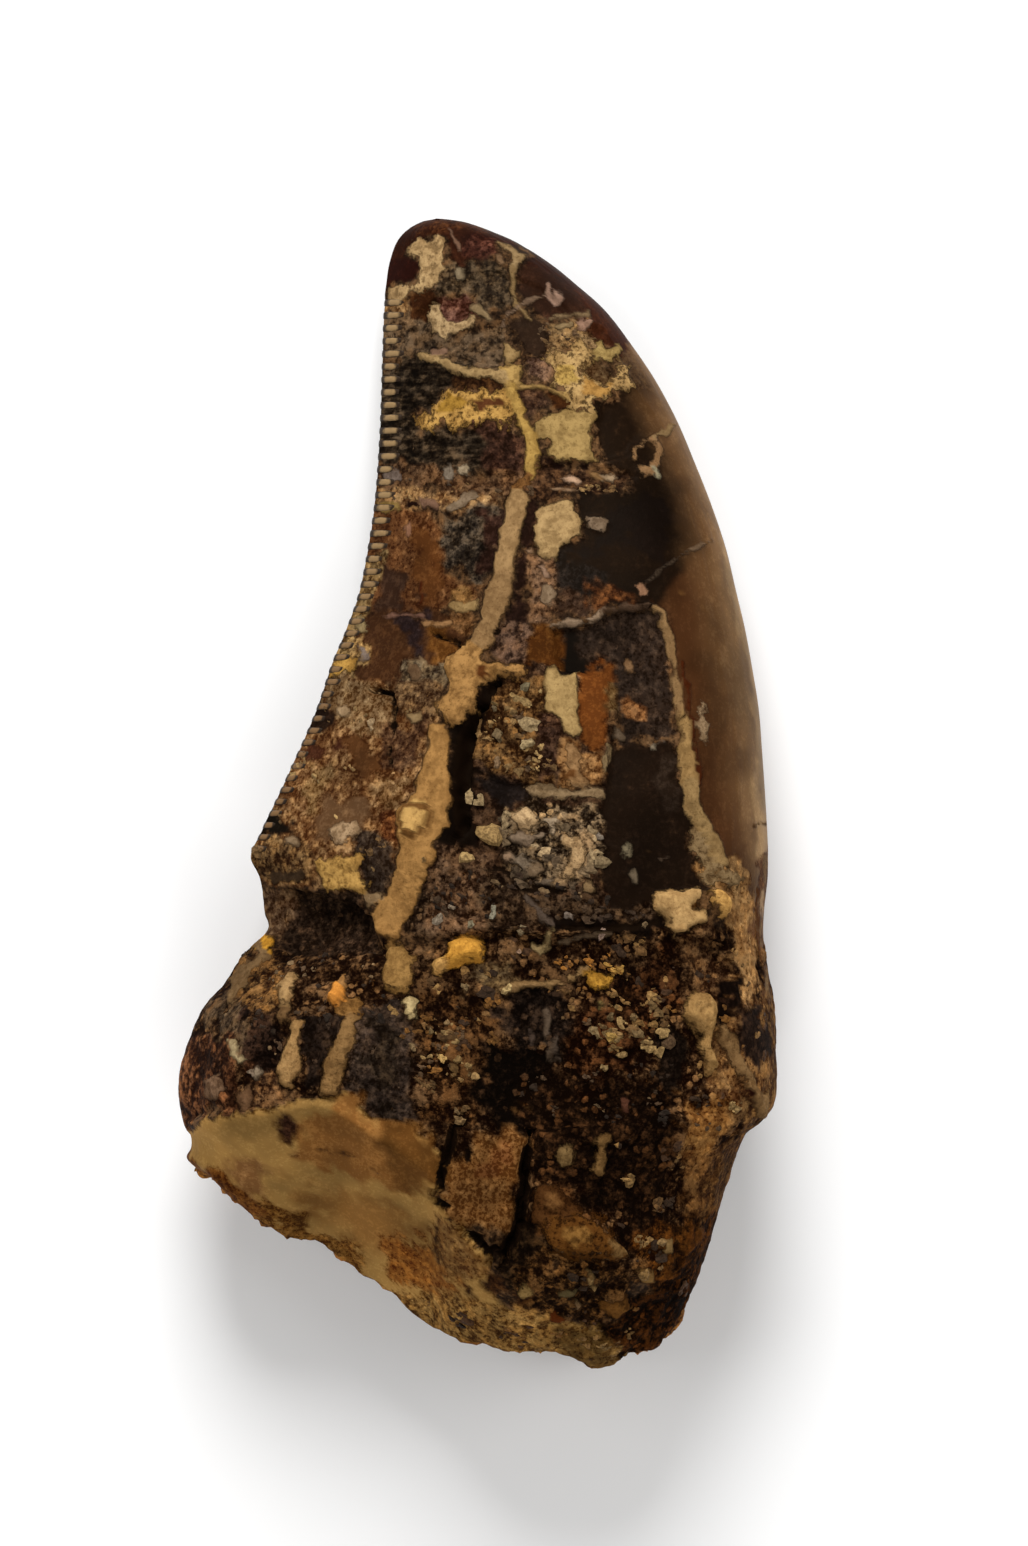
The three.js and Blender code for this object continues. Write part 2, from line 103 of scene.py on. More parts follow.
# The broken end seen from above: the edge of the break, and the rim from where the upper face falls to it.
BREAK_EDGE = [
    -11.3, -15.1, -10.6, -15.45, -10, -16.1, -9, -16.9, -8, -17.65, -7.3, -17.95, -6.5, -18, -5.8, -18.35,
    -4.7, -19.3, -3.9, -19.65, -3.2, -20.3, -2.6, -20.95, -2, -21.4, -1, -21.8, 0.2, -22, 1.4, -22.3,
    3.2, -22.3, 4, -22.65, 4.8, -23, 5.4, -22.85, 5.9, -22.4, 7.2, -22.1, 7.8, -21.55, 8.2, -20.6,
    8.65, -19.9,
]
BREAK_RIM = [
    -12.5, -14.2, -11.2, -13.7, -10.2, -13.2, -8, -12.7, -6.3, -12.2, -5.2, -12.6, -4.4, -13.4, -3.2, -14.1,
    -1.9, -15, -1.2, -16.6, 0, -18, 1.2, -18.9, 3, -19.3, 6, -19.1, 8, -18.8, 9.8, -18,
]
BREAK_SLOPE = 0.85  # how steeply the face falls behind the rim
BREAK_INSET = 0.45  # how deep the broken wall is hollowed
BREAK_WAVES, BREAK_WAVE_HEIGHT = 31, 0.4  # how fast the hollow wavers across, and its share of the depth
CREST = 0.64  # where the crown is highest, as a share of the way from the hind to the front edge
HIND_FULLNESS = 2.3  # powers that say how full the crown's profile is behind the crest and before it
FRONT_FULLNESS = 2.6
ROOT_FULLNESS = 3.2  # the power of the root's oval
UNDERSIDE_FLATNESS = 1.1
LEAST_RISE = 0.6  # the upper face always stands this far above the edges
SERRATED_FROM, SERRATED_TO = 19.6, -2.6  # in Y
SERRATED_FADES = (0.4, 0.8)  # how far the seat under the serrations runs out at its two ends
SERRATION_SEAT = 0.05  # how far the edge steps in under the serrations

# Low swellings and dips of the upper face: x, y, radius and height.
SWELLINGS = [
    (-10.6, -12.0, 1.3, 0.8), (-10.3, -9.6, 1.5, 0.6), (-9.3, -7.4, 1.1, 0.4), (-3.6, -10.7, 1.6, 0.35),
    (10.5, -9.5, 1.2, 0.5), (10.7, -12.3, 1.0, 0.7), (4.6, -17.8, 1.3, 0.6), (4.9, -22.2, 0.9, 0.5),
    (7.0, -9.0, 1.4, 0.3), (1.2, -8.4, 1.2, -0.3), (3.2, -11.5, 1.3, -0.45), (8.0, -15.5, 1.5, -0.4),
]

# Where a flake is gone from the face: its depth and its outline.
FLAKED = [
    (0.4, [2.9, 6.4, 4.8, 6.75, 5.1, 7.05, 6.4, 7.25, 7.15, 7.15, 7.6, 6.1, 7.95, 4.4, 8.4, -0.3, 9.3, -2.3,
        9.6, -3.6, 8.9, -3.8, 8.8, -5.4, 5.1, -5.5, 4.9, 0.3, 5.3, 1.6, 5.5, 3.2, 5.1, 4.4, 4, 4.7, 3.2,
        4.7]),
    (0.3, [-0.9, -2.4, -0.2, -1.9, 0, 0.7, 2.6, 0.15, 5.2, 0.2, 5.5, -5.3, 3.2, -5.65, -1.2, -5, -1.4,
        -3.6]),
    (0.45, [-13, -5.6, -3.9, -6, 0.6, -5.5, 3.3, -5.8, 7.4, -5.4, 9.9, -6, 10.3, -9, 10, -13, 8, -12.6, 5,
        -13.2, 2, -13.4, -1, -13.3, -3.3, -13.8, -4.6, -12.9, -6.3, -12.2, -13, -13.4]),
    (0.8, [-8.2, -4.3, -7.4, -4, -5, -4.5, -4.1, -5.1, -3.9, -6.1, -6, -6.3, -8.2, -6]),
    (0.18, [-2.6, 19.2, -1, 20.2, 0.6, 20.9, 2.4, 20.3, 3.6, 19.2, 4.9, 18.4, 5.4, 17.3, 3.2, 17.6, 1.2, 16.9,
        -0.8, 17.1, -2.6, 17.8]),
    (0.14, [2.6, 12.95, 5, 12.9, 6.2, 12.5, 5, 11.9, -1.2, 12.1, -0.4, 12.5, 1.4, 12.6]),
    (0.12, [4.9, 15.3, 6.2, 16, 7, 15, 6, 13.4, 4.9, 13, 4.7, 14.2]),
]
FLAKED_BELOW = [
    (0.35, [-2.6, 9.6, -0.6, 10.8, 1.8, 10.2, 3.4, 8.4, 4.3, 5.2, 3.4, 2.6, 1.2, 3.3, -0.8, 2.4, -2.4, 4.6]),
    (0.3, [7.6, 5, 8.6, 2.6, 9.2, -1.4, 8.2, -3, 7.4, -1, 7, 2.2]),
    (0.5, [-11.2, -9.2, -8.8, -8, -7.6, -9.4, -7.9, -11.6, -9.2, -13.2, -11.4, -12.6]),
    (0.8, [-3, -15.6, -0.4, -14.6, 2.6, -15.2, 5.2, -16.8, 6, -19.4, 3.4, -20.4, 0.2, -19.8, -2.2, -18.2]),
]
# Open clefts and cracks: width, depth and line.
CLEFTS = [
    (0.75, 1.3, [0.05, 3.4, -0.6, 1.9, -0.66, -1.5, -0.95, -2.1]),
    (0.3, 0.6, [1, 4.45, 0.6, 4.1, 0, 3]),
    (0.22, 0.5, [-4.35, 4.02, -3.9, 3.95, -3.5, 3.75, -3.38, 3.4, -3.45, 2.1]),
    (0.2, 0.3, [-3.48, 1.8, -3.55, 0.85]),
    (0.14, 0.35, [-1.8, 6.25, -0.5, 5.65]),
    (0.16, 0.35, [0.65, 6, 1.15, 6.55]),
    (0.22, 0.4, [0.1, -3.1, 0.9, -3.1, 1.35, -3.6, 2, -4, 3.2, -3.95, 4.1, -3.6]),
    (0.45, 1.1, [-0.7, -13, -1, -13.7, -1.55, -15.9]),
    (0.35, 0.7, [-1.8, -16.25, -1.3, -16.2, -0.9, -16.35]),
    (0.45, 1.3, [2.1, -13.3, 1.65, -17, 1.25, -17.9, 1, -18.8]),
    (0.45, 0.8, [-0.5, -17.25, 0.05, -17.6, 0.45, -18.1, 0.35, -18.7]),
    (0.3, 0.6, [0.45, -18.1, 0.9, -17.9]),
    (0.3, 0.45, [3.2, -5.5, 4.4, -5.35, 5.6, -5.4, 7.2, -5.15]),
    (0.25, 0.4, [-0.45, -14, -0.3, -14.6]),
]

# Mineral on the surface: colour, height, how far its edge rises, how ragged it is, and its outline.
# Four of the colours come back on the lower face.
TAN = (182, 150, 98)
PLATE = (165, 135, 89)
CRUST = (161, 124, 64)
VEIN = (156, 115, 64)
FLAKES = [
    ((174, 144, 99), 0.07, 0.1, 0.3, [-2.9, 21.6, -2.5, 22.1, -2.2, 21.9, -2, 21.9, -1.7, 22.3, -1.45, 22.1,
        -1.35, 21.2, -1.15, 20.95, -1.35, 20.8, -1.55, 20.4, -1.8, 20.15, -2.7, 19.85, -3.1, 19.5, -3.5, 19.6,
        -3.6, 20.05, -2.5, 20.55, -2.35, 21, -2.5, 21.35]),
    ((172, 144, 102), 0.07, 0.1, 0.3, [-2.2, 19.05, -1.8, 19.55, -1.6, 19.5, -1.4, 19.1, -1.1, 18.9, -0.2, 19,
        -0.1, 18.7, -1.2, 18.2, -1.45, 18, -1.7, 18.2, -1.85, 18.6]),
    ((140, 118, 84), 0.05, 0.1, 0.15, [-0.4, 19.3, 0, 19.6, 0.6, 18.9, 0.55, 18.7, 0.1, 19.1]),
    ((142, 117, 80), 0.05, 0.1, 0.2, [0.8, 21.95, 1.2, 21.9, 1.6, 21.6, 1.9, 21.5, 1.5, 20.7, 1.3, 20.8, 1.3,
        21.5]),
    ((116, 90, 64), 0.03, 0.1, 0.4, [0.7, 21.5, 1, 21.5, 1.1, 21.1, 0.8, 21]),
    ((128, 112, 86), 0.04, 0.1, 0.35, [-0.9, 20.9, -0.55, 20.9, -0.55, 20.5, -0.8, 20.35]),
    ((132, 102, 80), 0.04, 0.1, 0.4, [-2, 17.7, -1.3, 17.75, -1.2, 17.4, -1.8, 17.4]),
    ((150, 122, 78), 0.1, 0.15, 0.25, [0.9, 17.9, 1.2, 17.9, 1.5, 17.6, 1.75, 17.5, 1.6, 17.3, 1.1, 17.1,
        0.95, 17.4]),
    ((164, 132, 76), 0.12, 0.15, 0.2, [0.8, 17, 1.6, 17.1, 1.85, 16.9, 1.7, 16.1, 1.2, 16.1, 1, 16.3, 0.6,
        16.4]),
    ((176, 136, 72), 0.08, 0.15, 0.5, [-2.2, 15, -2.25, 14.4, -1.7, 14.3, -1.4, 14.5, -1, 14.3, -0.5, 14.45,
        -0.1, 14.3, 0.4, 14.7, 0.9, 14.3, 1.2, 14.5, 1.45, 15.2, 1.2, 16, -0.2, 15.9, -0.8, 16.1, -1.1, 16]),
    ((152, 114, 46), 0.1, 0.15, 0.5, [-1.6, 15.3, -1.2, 15.8, -0.7, 15.8, -0.5, 15.4, -1, 15.1, -1.7, 15]),
    ((88, 52, 28), 0.02, 0.1, 0.5, [-0.1, 15.4, 0.3, 15.6, 1.1, 15.5, 1, 15.2, 0.4, 15.25, 0.1, 15]),
    ((168, 136, 86), 0.1, 0.2, 0.5, [2.6, 17.1, 2.8, 17.4, 3.9, 17.7, 4.2, 18, 4.5, 17.6, 4.2, 16.6, 4.5,
        16.2, 5, 16.1, 5.5, 16.6, 5.5, 17.1, 5.7, 17.3, 6, 17, 6.15, 16.3, 6.1, 15.95, 5.6, 16, 5.3, 15.8,
        5.1, 15.5, 4.7, 15.25, 4.55, 15, 3.9, 15, 3.6, 15.5, 3, 16, 2.95, 16.6]),
    ((168, 136, 72), 0.11, 0.15, 0.6, [3.1, 16.9, 3.9, 16.9, 4, 16.3, 3.6, 16, 3.1, 16.2]),
    ((164, 122, 63), 0.11, 0.15, 0.6, [4.2, 16.5, 4.8, 16, 5.3, 16.2, 5.3, 15.8, 4.8, 15.5, 4.2, 15.6]),
    ((156, 131, 78), 0.08, 0.15, 0.3, [4.6, 17.4, 4.7, 17.7, 5, 18.1, 5.15, 17.7, 5.6, 17.7, 5.7, 17.5, 5.3,
        17.15, 4.8, 17.2]),
    ((152, 118, 96), 0.06, 0.15, 0.4, [4.1, 19, 4.6, 18.9, 4.5, 18.6, 4.2, 18.4, 3.9, 18.8]),
    ((138, 115, 80), 0.06, 0.15, 0.7, [2.8, 18.5, 3.4, 18.8, 4, 18.9, 3.9, 18.6, 3.4, 18.4]),
    ((154, 126, 76), 0.12, 0.15, 0.18, [2.25, 14.6, 3, 14.95, 4.2, 15.05, 4.65, 14.95, 4.6, 14.4, 4.4, 14.15,
        4.65, 13.9, 4.5, 13.3, 4.8, 13.1, 4.1, 12.95, 3.6, 13.1, 2.95, 13.05, 2.7, 13.4, 2.85, 13.9, 2.4,
        14.1]),
    ((186, 151, 120), 0.08, 0.1, 0.12, [3.1, 12.4, 3.35, 12.5, 3.75, 12.5, 4.1, 12.2, 3.85, 12.05]),
    ((150, 120, 90), 0.06, 0.1, 0.2, [2.7, 12.05, 3.2, 12.12, 3.8, 11.98, 3.95, 11.85, 3.5, 11.8]),
    ((152, 128, 98), 0.08, 0.1, 0.2, [5, 12.55, 5.35, 12.6, 5.55, 12.4, 5.3, 12.2, 5, 12.3]),
    ((140, 106, 66), 0.05, 0.1, 0.3, [4.4, 12.8, 4.9, 12.6, 5, 12.35, 4.6, 12.5]),
    (PLATE, 0.12, 0.12, 0.18, [2.2, 11, 2.4, 11.2, 3.2, 11.55, 3.6, 11.45, 3.8, 11.1, 4.05, 10.95, 4.2, 10.7,
        4.1, 10.1, 3.4, 9.75, 3.1, 9.1, 2.8, 9.1, 2.45, 9.35, 2.3, 9.9]),
    ((122, 102, 80), 0.06, 0.1, 0.3, [4.4, 10.85, 4.8, 10.95, 5.1, 10.6, 5, 10.2, 4.7, 10.1, 4.4, 10.4]),
    ((152, 134, 106), 0.05, 0.1, 0.3, [-0.9, 12.9, -0.5, 13.1, -0.2, 12.8, -0.2, 12.5, -0.7, 12.5]),
    ((128, 115, 98), 0.05, 0.1, 0.3, [-1.4, 12.8, -1.1, 13, -0.95, 12.6, -1.1, 12.3, -1.4, 12.4]),
    ((112, 97, 86), 0.03, 0.1, 0.4, [-3.8, 12.7, -3.2, 12.8, -3.1, 12.4, -3.7, 12.3]),
    ((132, 112, 88), 0.05, 0.1, 0.5, [-1.3, 11.3, -0.9, 11.7, -0.2, 11.9, 0.1, 11.7, -1, 11.1]),
    ((118, 88, 68), 0.05, 0.1, 0.5, [-2.4, 11.7, -1.6, 11.6, -1.5, 11.2, -2.3, 11.2]),
    ((134, 108, 60), 0.05, 0.1, 0.4, [-4, 11.5, -3.1, 11.5, -3, 11.1, -3.9, 11.1]),
    ((28, 12, 8), -0.04, 0.1, 0.15, [-2.9, 11.55, -2.45, 11.5, -2.4, 11.3, -2.85, 11.25]),
    ((142, 102, 76), 0.02, 0.1, 0.35, [-3, 10.5, -2.7, 10.6, -2.7, 10.2, -2.95, 10.1]),
    ((136, 114, 88), 0.06, 0.12, 0.4, [2.5, 7.9, 2.9, 8, 3.15, 7.7, 3, 7.3, 2.6, 7.4]),
    ((150, 120, 96), 0.06, 0.12, 0.3, [2.5, 8.9, 2.75, 8.9, 2.85, 8.4, 2.6, 8.3]),
    ((142, 112, 84), 0.06, 0.12, 0.3, [1.9, 9.6, 2.2, 9.6, 2.2, 9.3, 1.95, 9.3]),
    ((150, 122, 78), 0.04, 0.12, 0.5, [-1.1, 7.4, 0.1, 7.6, 0, 7.2, -0.9, 7.1]),
    ((145, 108, 80), 0.04, 0.12, 0.4, [6.2, 8.1, 6.5, 8.1, 6.7, 7.7, 6.4, 7.6]),
    ((178, 136, 66), 0.15, 0.25, 0.25, [-6, 5.1, -5.4, 5.5, -4.9, 5, -5.2, 4.5, -5.9, 4.4]),
    ((142, 122, 84), 0.06, 0.15, 0.5, [-4.9, 6.9, -4.4, 6.8, -4.3, 6.3, -4.9, 6.2]),
    ((124, 108, 96), 0.05, 0.15, 0.4, [-4.8, 5.7, -4.4, 5.6, -4.4, 5.1, -4.8, 5.2]),
    ((104, 80, 56), 0.05, 0.12, 0.5, [-2.8, 5, -2.4, 5, -2.3, 4.5, -2.7, 4.4]),
    ((156, 116, 66), 0.3, 0.25, 0.25, [-1.2, 5.3, -0.9, 5.6, 0.1, 6, 0.5, 5.7, 0.3, 5.3, 0.4, 5, 0.7, 5.1,
        1.8, 5, 1.95, 4.7, 1.9, 4.4, 1.6, 4.4, 1.2, 4.6, 0.8, 4.6, 0.7, 4.3, 0.05, 3.95, -0.1, 3, -0.4, 3.1,
        -0.6, 2.6, -1, 2.5, -1.65, 3.1, -1.5, 3.5, -1.2, 3.8, -1.15, 4.4, -1.3, 4.9]),
    ((88, 50, 22), 0.08, 0.2, 0.3, [0.05, 4.75, 0.5, 4.85, 0.65, 4.5, 0.4, 4.35, 0.1, 4.5]),
    (VEIN, 0.16, 0.14, 0.1, [-1.75, 2.65, -2.35, 0.8, -2.4, -0.1, -2.8, -0.4, -3.1, -0.8, -3.2, -1.3, -3.15,
        -1.8, -2.95, -2.2, -3.05, -2.7, -3.5, -3.9, -4.1, -5, -4.1, -5.4, -3.9, -5.7, -3.5, -5.8, -3, -5.85,
        -2.05, -3.6, -1.7, -2.3, -1.3, -1.9, -1.15, -1.5, -1.05, 0.5, -1.15, 2, -1.3, 2.6]),
    ((186, 146, 84), 0.32, 0.35, 0.1, [-2.4, -0.3, -2.05, -0.45, -1.8, -0.9, -1.85, -1.4, -2.2, -1.8, -2.7,
        -1.9, -3.05, -1.6, -3.05, -1, -2.8, -0.6]),
    ((162, 133, 84), 0.1, 0.12, 0.12, [2.7, 4.3, 2.75, 4.7, 3.1, 4.8, 3.2, 4.5, 3.6, 4.6, 4, 4.85, 3.9, 4.2,
        4, 3.6, 3.9, 3, 4.1, 2.3, 3.8, 2, 3.45, 2.2, 3.3, 2.6, 3, 3, 2.7, 3.2]),
    ((142, 108, 70), 0.06, 0.12, 0.4, [3.4, 1.8, 3.8, 1.8, 4, 1.2, 4, 0.6, 4.4, 0.2, 3.6, 0.1, 3.4, 0.9]),
    ((98, 62, 30), -0.03, 0.1, 0.4, [3.4, 0.85, 3.8, 0.85, 3.8, 0.55, 3.4, 0.5]),
    ((134, 112, 78), 0.08, 0.12, 0.3, [4.9, 1.2, 5.1, 1.9, 5.35, 1.8, 5.3, 1.2, 5, 0.5, 4.8, 0.6]),
    ((160, 132, 98), 0.08, 0.12, 0.45, [-5.85, -1.6, -5.4, -1.35, -4.9, -1.3, -4.6, -1.55, -5.1, -2.3, -5.5,
        -2.2]),
    ((186, 145, 78), 0.12, 0.15, 0.3, [-6.4, -2.9, -5.4, -2.5, -4.6, -2.65, -4.7, -3.1, -4.25, -3.7, -4.4, -4,
        -4.9, -3.9, -6, -4, -6.3, -3.8, -6.2, -3.4]),
    ((142, 116, 82), 0.1, 0.15, 0.4, [-4.4, -4.2, -3.8, -4.1, -3.7, -4.5, -4.2, -4.7]),
    ((146, 122, 92), 0.12, 0.15, 0.4, [-7.7, -1.9, -7.3, -1.85, -7.2, -2.15, -7.6, -2.25]),
    ((160, 133, 98), 0.06, 0.15, 0.5, [-5.7, 3.3, -5.2, 3.4, -5, 2.9, -5.6, 2.8]),
    ((146, 120, 82), 0.06, 0.15, 0.5, [-2.8, 3, -2.3, 3.1, -2.2, 2.8, -2.6, 2.6]),
    ((192, 160, 116), 0.25, 0.25, 0.25, [1.2, -0.95, 1.5, -0.85, 1.8, -0.5, 2.2, -0.7, 2.4, -1.2, 2.1, -1.5,
        1.6, -1.4, 1.3, -1.2]),
    ((132, 112, 90), 0.15, 0.2, 0.5, [1.1, -1.8, 1.5, -1.6, 2.1, -1.75, 2.6, -1.6, 2.7, -1.9, 2, -2.05, 1.3,
        -2]),
    ((180, 158, 128), 0.2, 0.2, 0.35, [2.45, -1.05, 3.2, -1, 3.25, -1.25, 3, -1.3, 3.1, -1.8, 2.85, -1.75,
        2.75, -1.3]),
    ((172, 140, 98), 0.25, 0.25, 0.45, [3.25, -2.1, 3.35, -1.6, 3.8, -1.7, 4.2, -1.85, 4.4, -2.4, 4.25, -3.1,
        3.95, -3.15, 3.75, -3.5, 3.4, -3.5, 3.3, -3.2, 3.6, -2.9, 3.7, -2.3]),
    ((140, 114, 88), 0.18, 0.2, 0.5, [0.8, -2.5, 1.1, -2.25, 1.4, -2.5, 1.3, -2.95, 0.9, -2.95]),
    ((126, 110, 90), 0.15, 0.2, 0.5, [1.5, -2.6, 1.8, -2.4, 2.1, -2.8, 1.8, -3.05, 1.5, -2.9]),
    ((130, 108, 82), 0.15, 0.2, 0.5, [2, -3, 2.3, -2.9, 2.6, -3.2, 2.3, -3.4, 2, -3.3]),
    ((108, 92, 74), 0.12, 0.2, 0.35, [2.3, -3.7, 2.8, -3.4, 3.2, -3.5, 3.1, -3.8, 2.6, -3.95]),
    ((134, 108, 74), 0.15, 0.2, 0.3, [4.2, -3.7, 4.4, -3.5, 4.6, -3.9, 4.5, -4.1, 4.1, -4]),
    ((188, 150, 96), 0.55, 0.3, 0.15, [6.95, -4.1, 7.1, -3.9, 8.1, -3.85, 8.5, -3.7, 8.9, -3.75, 8.8, -4.3,
        8.5, -4.6, 8.9, -4.75, 9, -5.1, 8, -5.6, 7.8, -5.8, 7.5, -5.1, 7.1, -4.7]),
    ((122, 76, 30), 0.3, 0.2, 0.2, [8.45, -4.5, 8.75, -4.4, 8.8, -4.65, 8.5, -4.75]),
    ((204, 156, 86), 0.4, 0.3, 0.2, [9, -3.95, 9.5, -3.85, 9.95, -4.2, 9.95, -4.95, 9.5, -5, 9.2, -4.6]),
    ((130, 106, 72), 0.1, 0.2, 0.5, [8.5, -1.6, 8.9, -1.5, 9.4, -2.2, 9.8, -3, 10.4, -3.4, 10.3, -3.8, 9.6,
        -3.7, 9.1, -3.8, 9, -2.8, 8.5, -2.4]),
    ((112, 100, 76), 0.04, 0.1, 0.5, [5.6, -2.1, 6, -1.95, 6.2, -2.6, 6, -2.7]),
    ((106, 92, 72), 0.04, 0.1, 0.5, [6, -3.2, 6.3, -3.1, 6.35, -3.6, 6.1, -3.7]),
    ((82, 66, 52), 0.02, 0.1, 0.5, [7.2, -2.7, 7.7, -2.5, 7.7, -2.65, 7.3, -2.85]),
    ((96, 80, 62), 0.05, 0.1, 0.3, [5.45, 2.6, 5.6, 2.55, 5.9, 2.1, 5.6, 2.05, 5.45, 2.3]),
    ((132, 118, 96), 0.05, 0.1, 0.3, [6.7, 1.9, 7, 1.95, 7.1, 1.65, 6.8, 1.65]),
    ((88, 74, 62), 0.03, 0.1, 0.5, [7.1, 2.2, 7.5, 2.15, 7.5, 1.9, 7.2, 1.9]),
    ((122, 92, 62), 0.03, 0.1, 0.5, [5.8, 5.3, 6.2, 5.2, 6.3, 4.8, 5.8, 4.8]),
    ((142, 117, 86), 0.03, 0.12, 0.5, [8.7, 3.6, 8.95, 3.5, 9, 3, 9.25, 2.6, 9, 2, 8.8, 2, 8.65, 2.6]),
    # the root's own
    ((148, 112, 62), 0.3, 0.25, 0.2, [-3.72, -6, -2.95, -5.95, -2.6, -6.3, -2.6, -7.2, -2.85, -7.85, -3.35,
        -7.8, -3.78, -7.55]),
    ((206, 148, 60), 0.6, 0.45, 0.15, [-1.35, -6.4, -1.2, -5.85, -0.6, -5.62, 0, -5.75, 0.32, -6.2, 0.05,
        -6.7, -0.6, -6.75, -1.1, -6.9]),
    ((196, 150, 84), 0.35, 0.25, 0.2, [-1.7, -7.1, -1.9, -6.8, -1.45, -6.3, -1.1, -6.7, -1.4, -7.15]),
    ((218, 144, 62), 0.45, 0.3, 0.07, [-5.95, -7.95, -5.75, -7.35, -5.4, -7.3, -5.2, -7.8, -5.5, -8.2, -5.8,
        -8.2]),
    ((168, 122, 70), 0.1, 0.2, 0.3, [-5.6, -7.3, -5.3, -6.9, -5.15, -7.3, -5.3, -7.6]),
    ((134, 96, 50), 0.1, 0.2, 0.35, [-5.6, -8.3, -5.2, -8, -4.7, -7.9, -4.7, -8.6, -5.2, -9, -5.6, -8.8]),
    ((164, 130, 84), 0.25, 0.2, 0.2, [-7.75, -6.95, -7.35, -6.8, -7.25, -7.5, -7.5, -8.25, -8, -8.3, -8.1,
        -7.5, -7.8, -7.3]),
    ((112, 84, 52), 0.15, 0.2, 0.2, [-7.9, -8.3, -7.5, -8.3, -7.6, -8.9, -7.95, -9.2, -8.1, -8.8]),
    ((190, 166, 116), 0.35, 0.25, 0.2, [-3.05, -8.3, -2.7, -8.05, -2.25, -8.2, -2.4, -8.6, -2.3, -9, -2.6,
        -9.1, -2.9, -8.7]),
    ((170, 132, 82), 0.4, 0.3, 0.15, [-7.2, -8.75, -7.02, -8.9, -7.15, -11, -7.3, -11.6, -7.75, -11.65, -8,
        -11.1, -7.8, -10.3]),
    ((138, 104, 62), 0.35, 0.3, 0.15, [-4.95, -8.6, -4.7, -9, -5.6, -12, -6.35, -12, -5.75, -9.8, -5.4, -9]),
    ((168, 148, 108), 0.08, 0.12, 0.25, [-10.35, -9.8, -9.9, -9.75, -9.7, -10.2, -9.35, -10.6, -9.55,
        -10.85]),
    ((146, 128, 104), 0.12, 0.12, 0.3, [-9.1, -11, -8.8, -10.85, -8.6, -11.15, -8.8, -11.45, -9.05, -11.3]),
    ((122, 94, 70), 0.1, 0.15, 0.4, [-11.2, -11.4, -10.6, -11.2, -10.3, -11.8, -10.6, -12.4, -11.2, -12.2]),
    ((112, 82, 56), 0.08, 0.12, 0.4, [-9.55, -12, -9.1, -11.7, -8.9, -12.3, -9.3, -12.8, -9.6, -12.6]),
    ((168, 130, 78), 0.5, 0.35, 0.15, [8.2, -8.3, 8.6, -7.95, 9.3, -7.9, 9.68, -8.4, 9.45, -10, 9.55, -11,
        9.2, -11.4, 9, -10.4, 8.95, -9.6, 8.3, -8.9]),
    ((126, 96, 60), 0.3, 0.3, 0.2, [9.8, -9.2, 10.15, -9.1, 10.35, -10.3, 11.5, -13, 11, -13, 10.6, -12.2,
        9.9, -10.4]),
    ((142, 110, 70), 0.1, 0.2, 0.4, [11, -12, 11.5, -12, 11.6, -12.7, 11.1, -12.9]),
    ((124, 98, 60), 0.3, 0.2, 0.3, [3.1, -13.9, 3.5, -13.85, 3.8, -14.2, 3.7, -14.7, 3.2, -14.75, 3.05,
        -14.3]),
    ((118, 88, 50), 0.3, 0.2, 0.3, [4, -13.8, 4.5, -13.75, 4.9, -13.5, 5.15, -13.7, 5, -14.4, 5, -15.1, 4.7,
        -15.25, 4.4, -14.9, 4.7, -14.4, 4.75, -13.95, 4.3, -13.95]),
    ((74, 45, 20), 0.2, 0.25, 0.4, [2.15, -15.7, 2.8, -15.35, 4.4, -16.6, 3.4, -16.8, 2.25, -17.4, 2.1,
        -16.6]),
    ((88, 54, 20), 0.3, 0.3, 0.5, [2.6, -17, 3.2, -16.7, 4.2, -16.6, 4.9, -16.9, 6, -18.3, 5.2, -18.55, 2.9,
        -18.2, 2.6, -17.6]),
    ((130, 92, 44), 0.36, 0.15, 0.4, [3.3, -17.4, 3.8, -17, 4.4, -17.3, 4.2, -17.8, 3.6, -17.9]),
    ((132, 100, 58), 0.36, 0.15, 0.35, [4.9, -17.5, 5.3, -17.6, 5.8, -18.2, 5.2, -18.35]),
    ((112, 76, 40), 0.3, 0.15, 0.4, [2.5, -16, 3, -15.8, 3.3, -16.2, 2.8, -16.6]),
    ((152, 122, 72), 0.25, 0.2, 0.35, [1.55, -19.5, 2, -19.35, 2.3, -19.6, 2.1, -20, 1.6, -19.95]),
    ((98, 84, 54), 0.15, 0.2, 0.4, [3.2, -19.6, 3.9, -19.5, 3.9, -19.95, 3.3, -20]),
    ((156, 126, 80), 0.3, 0.2, 0.15, [4.3, -18.9, 4.6, -19.1, 4.75, -19.5, 4.5, -19.7, 4.35, -19.4]),
    ((142, 112, 78), 0.25, 0.2, 0.3, [3.8, -20.2, 4.1, -20.1, 4.3, -20.4, 4, -20.6]),
    ((112, 74, 32), 0.15, 0.2, 0.4, [4.9, -20.1, 5.7, -20, 6, -20.5, 5.4, -20.9, 5, -20.6]),
    ((102, 50, 18), 0.03, 0.1, 0.3, [2.7, -20.6, 3.3, -20.7, 3.8, -20.9, 3.6, -21.1, 2.9, -20.95]),
    ((150, 120, 74), 0.15, 0.2, 0.4, [7.2, -17.7, 7.6, -17.7, 7.7, -18.2, 7.3, -18.2]),
    ((132, 100, 56), 0.15, 0.2, 0.5, [6.2, -19, 6.9, -18.9, 7, -19.4, 6.4, -19.5]),
    ((176, 128, 48), 0.15, 0.2, 0.5, [4.2, -7.1, 5.4, -7.3, 5.2, -7.9, 4.6, -7.85, 4.3, -7.5]),
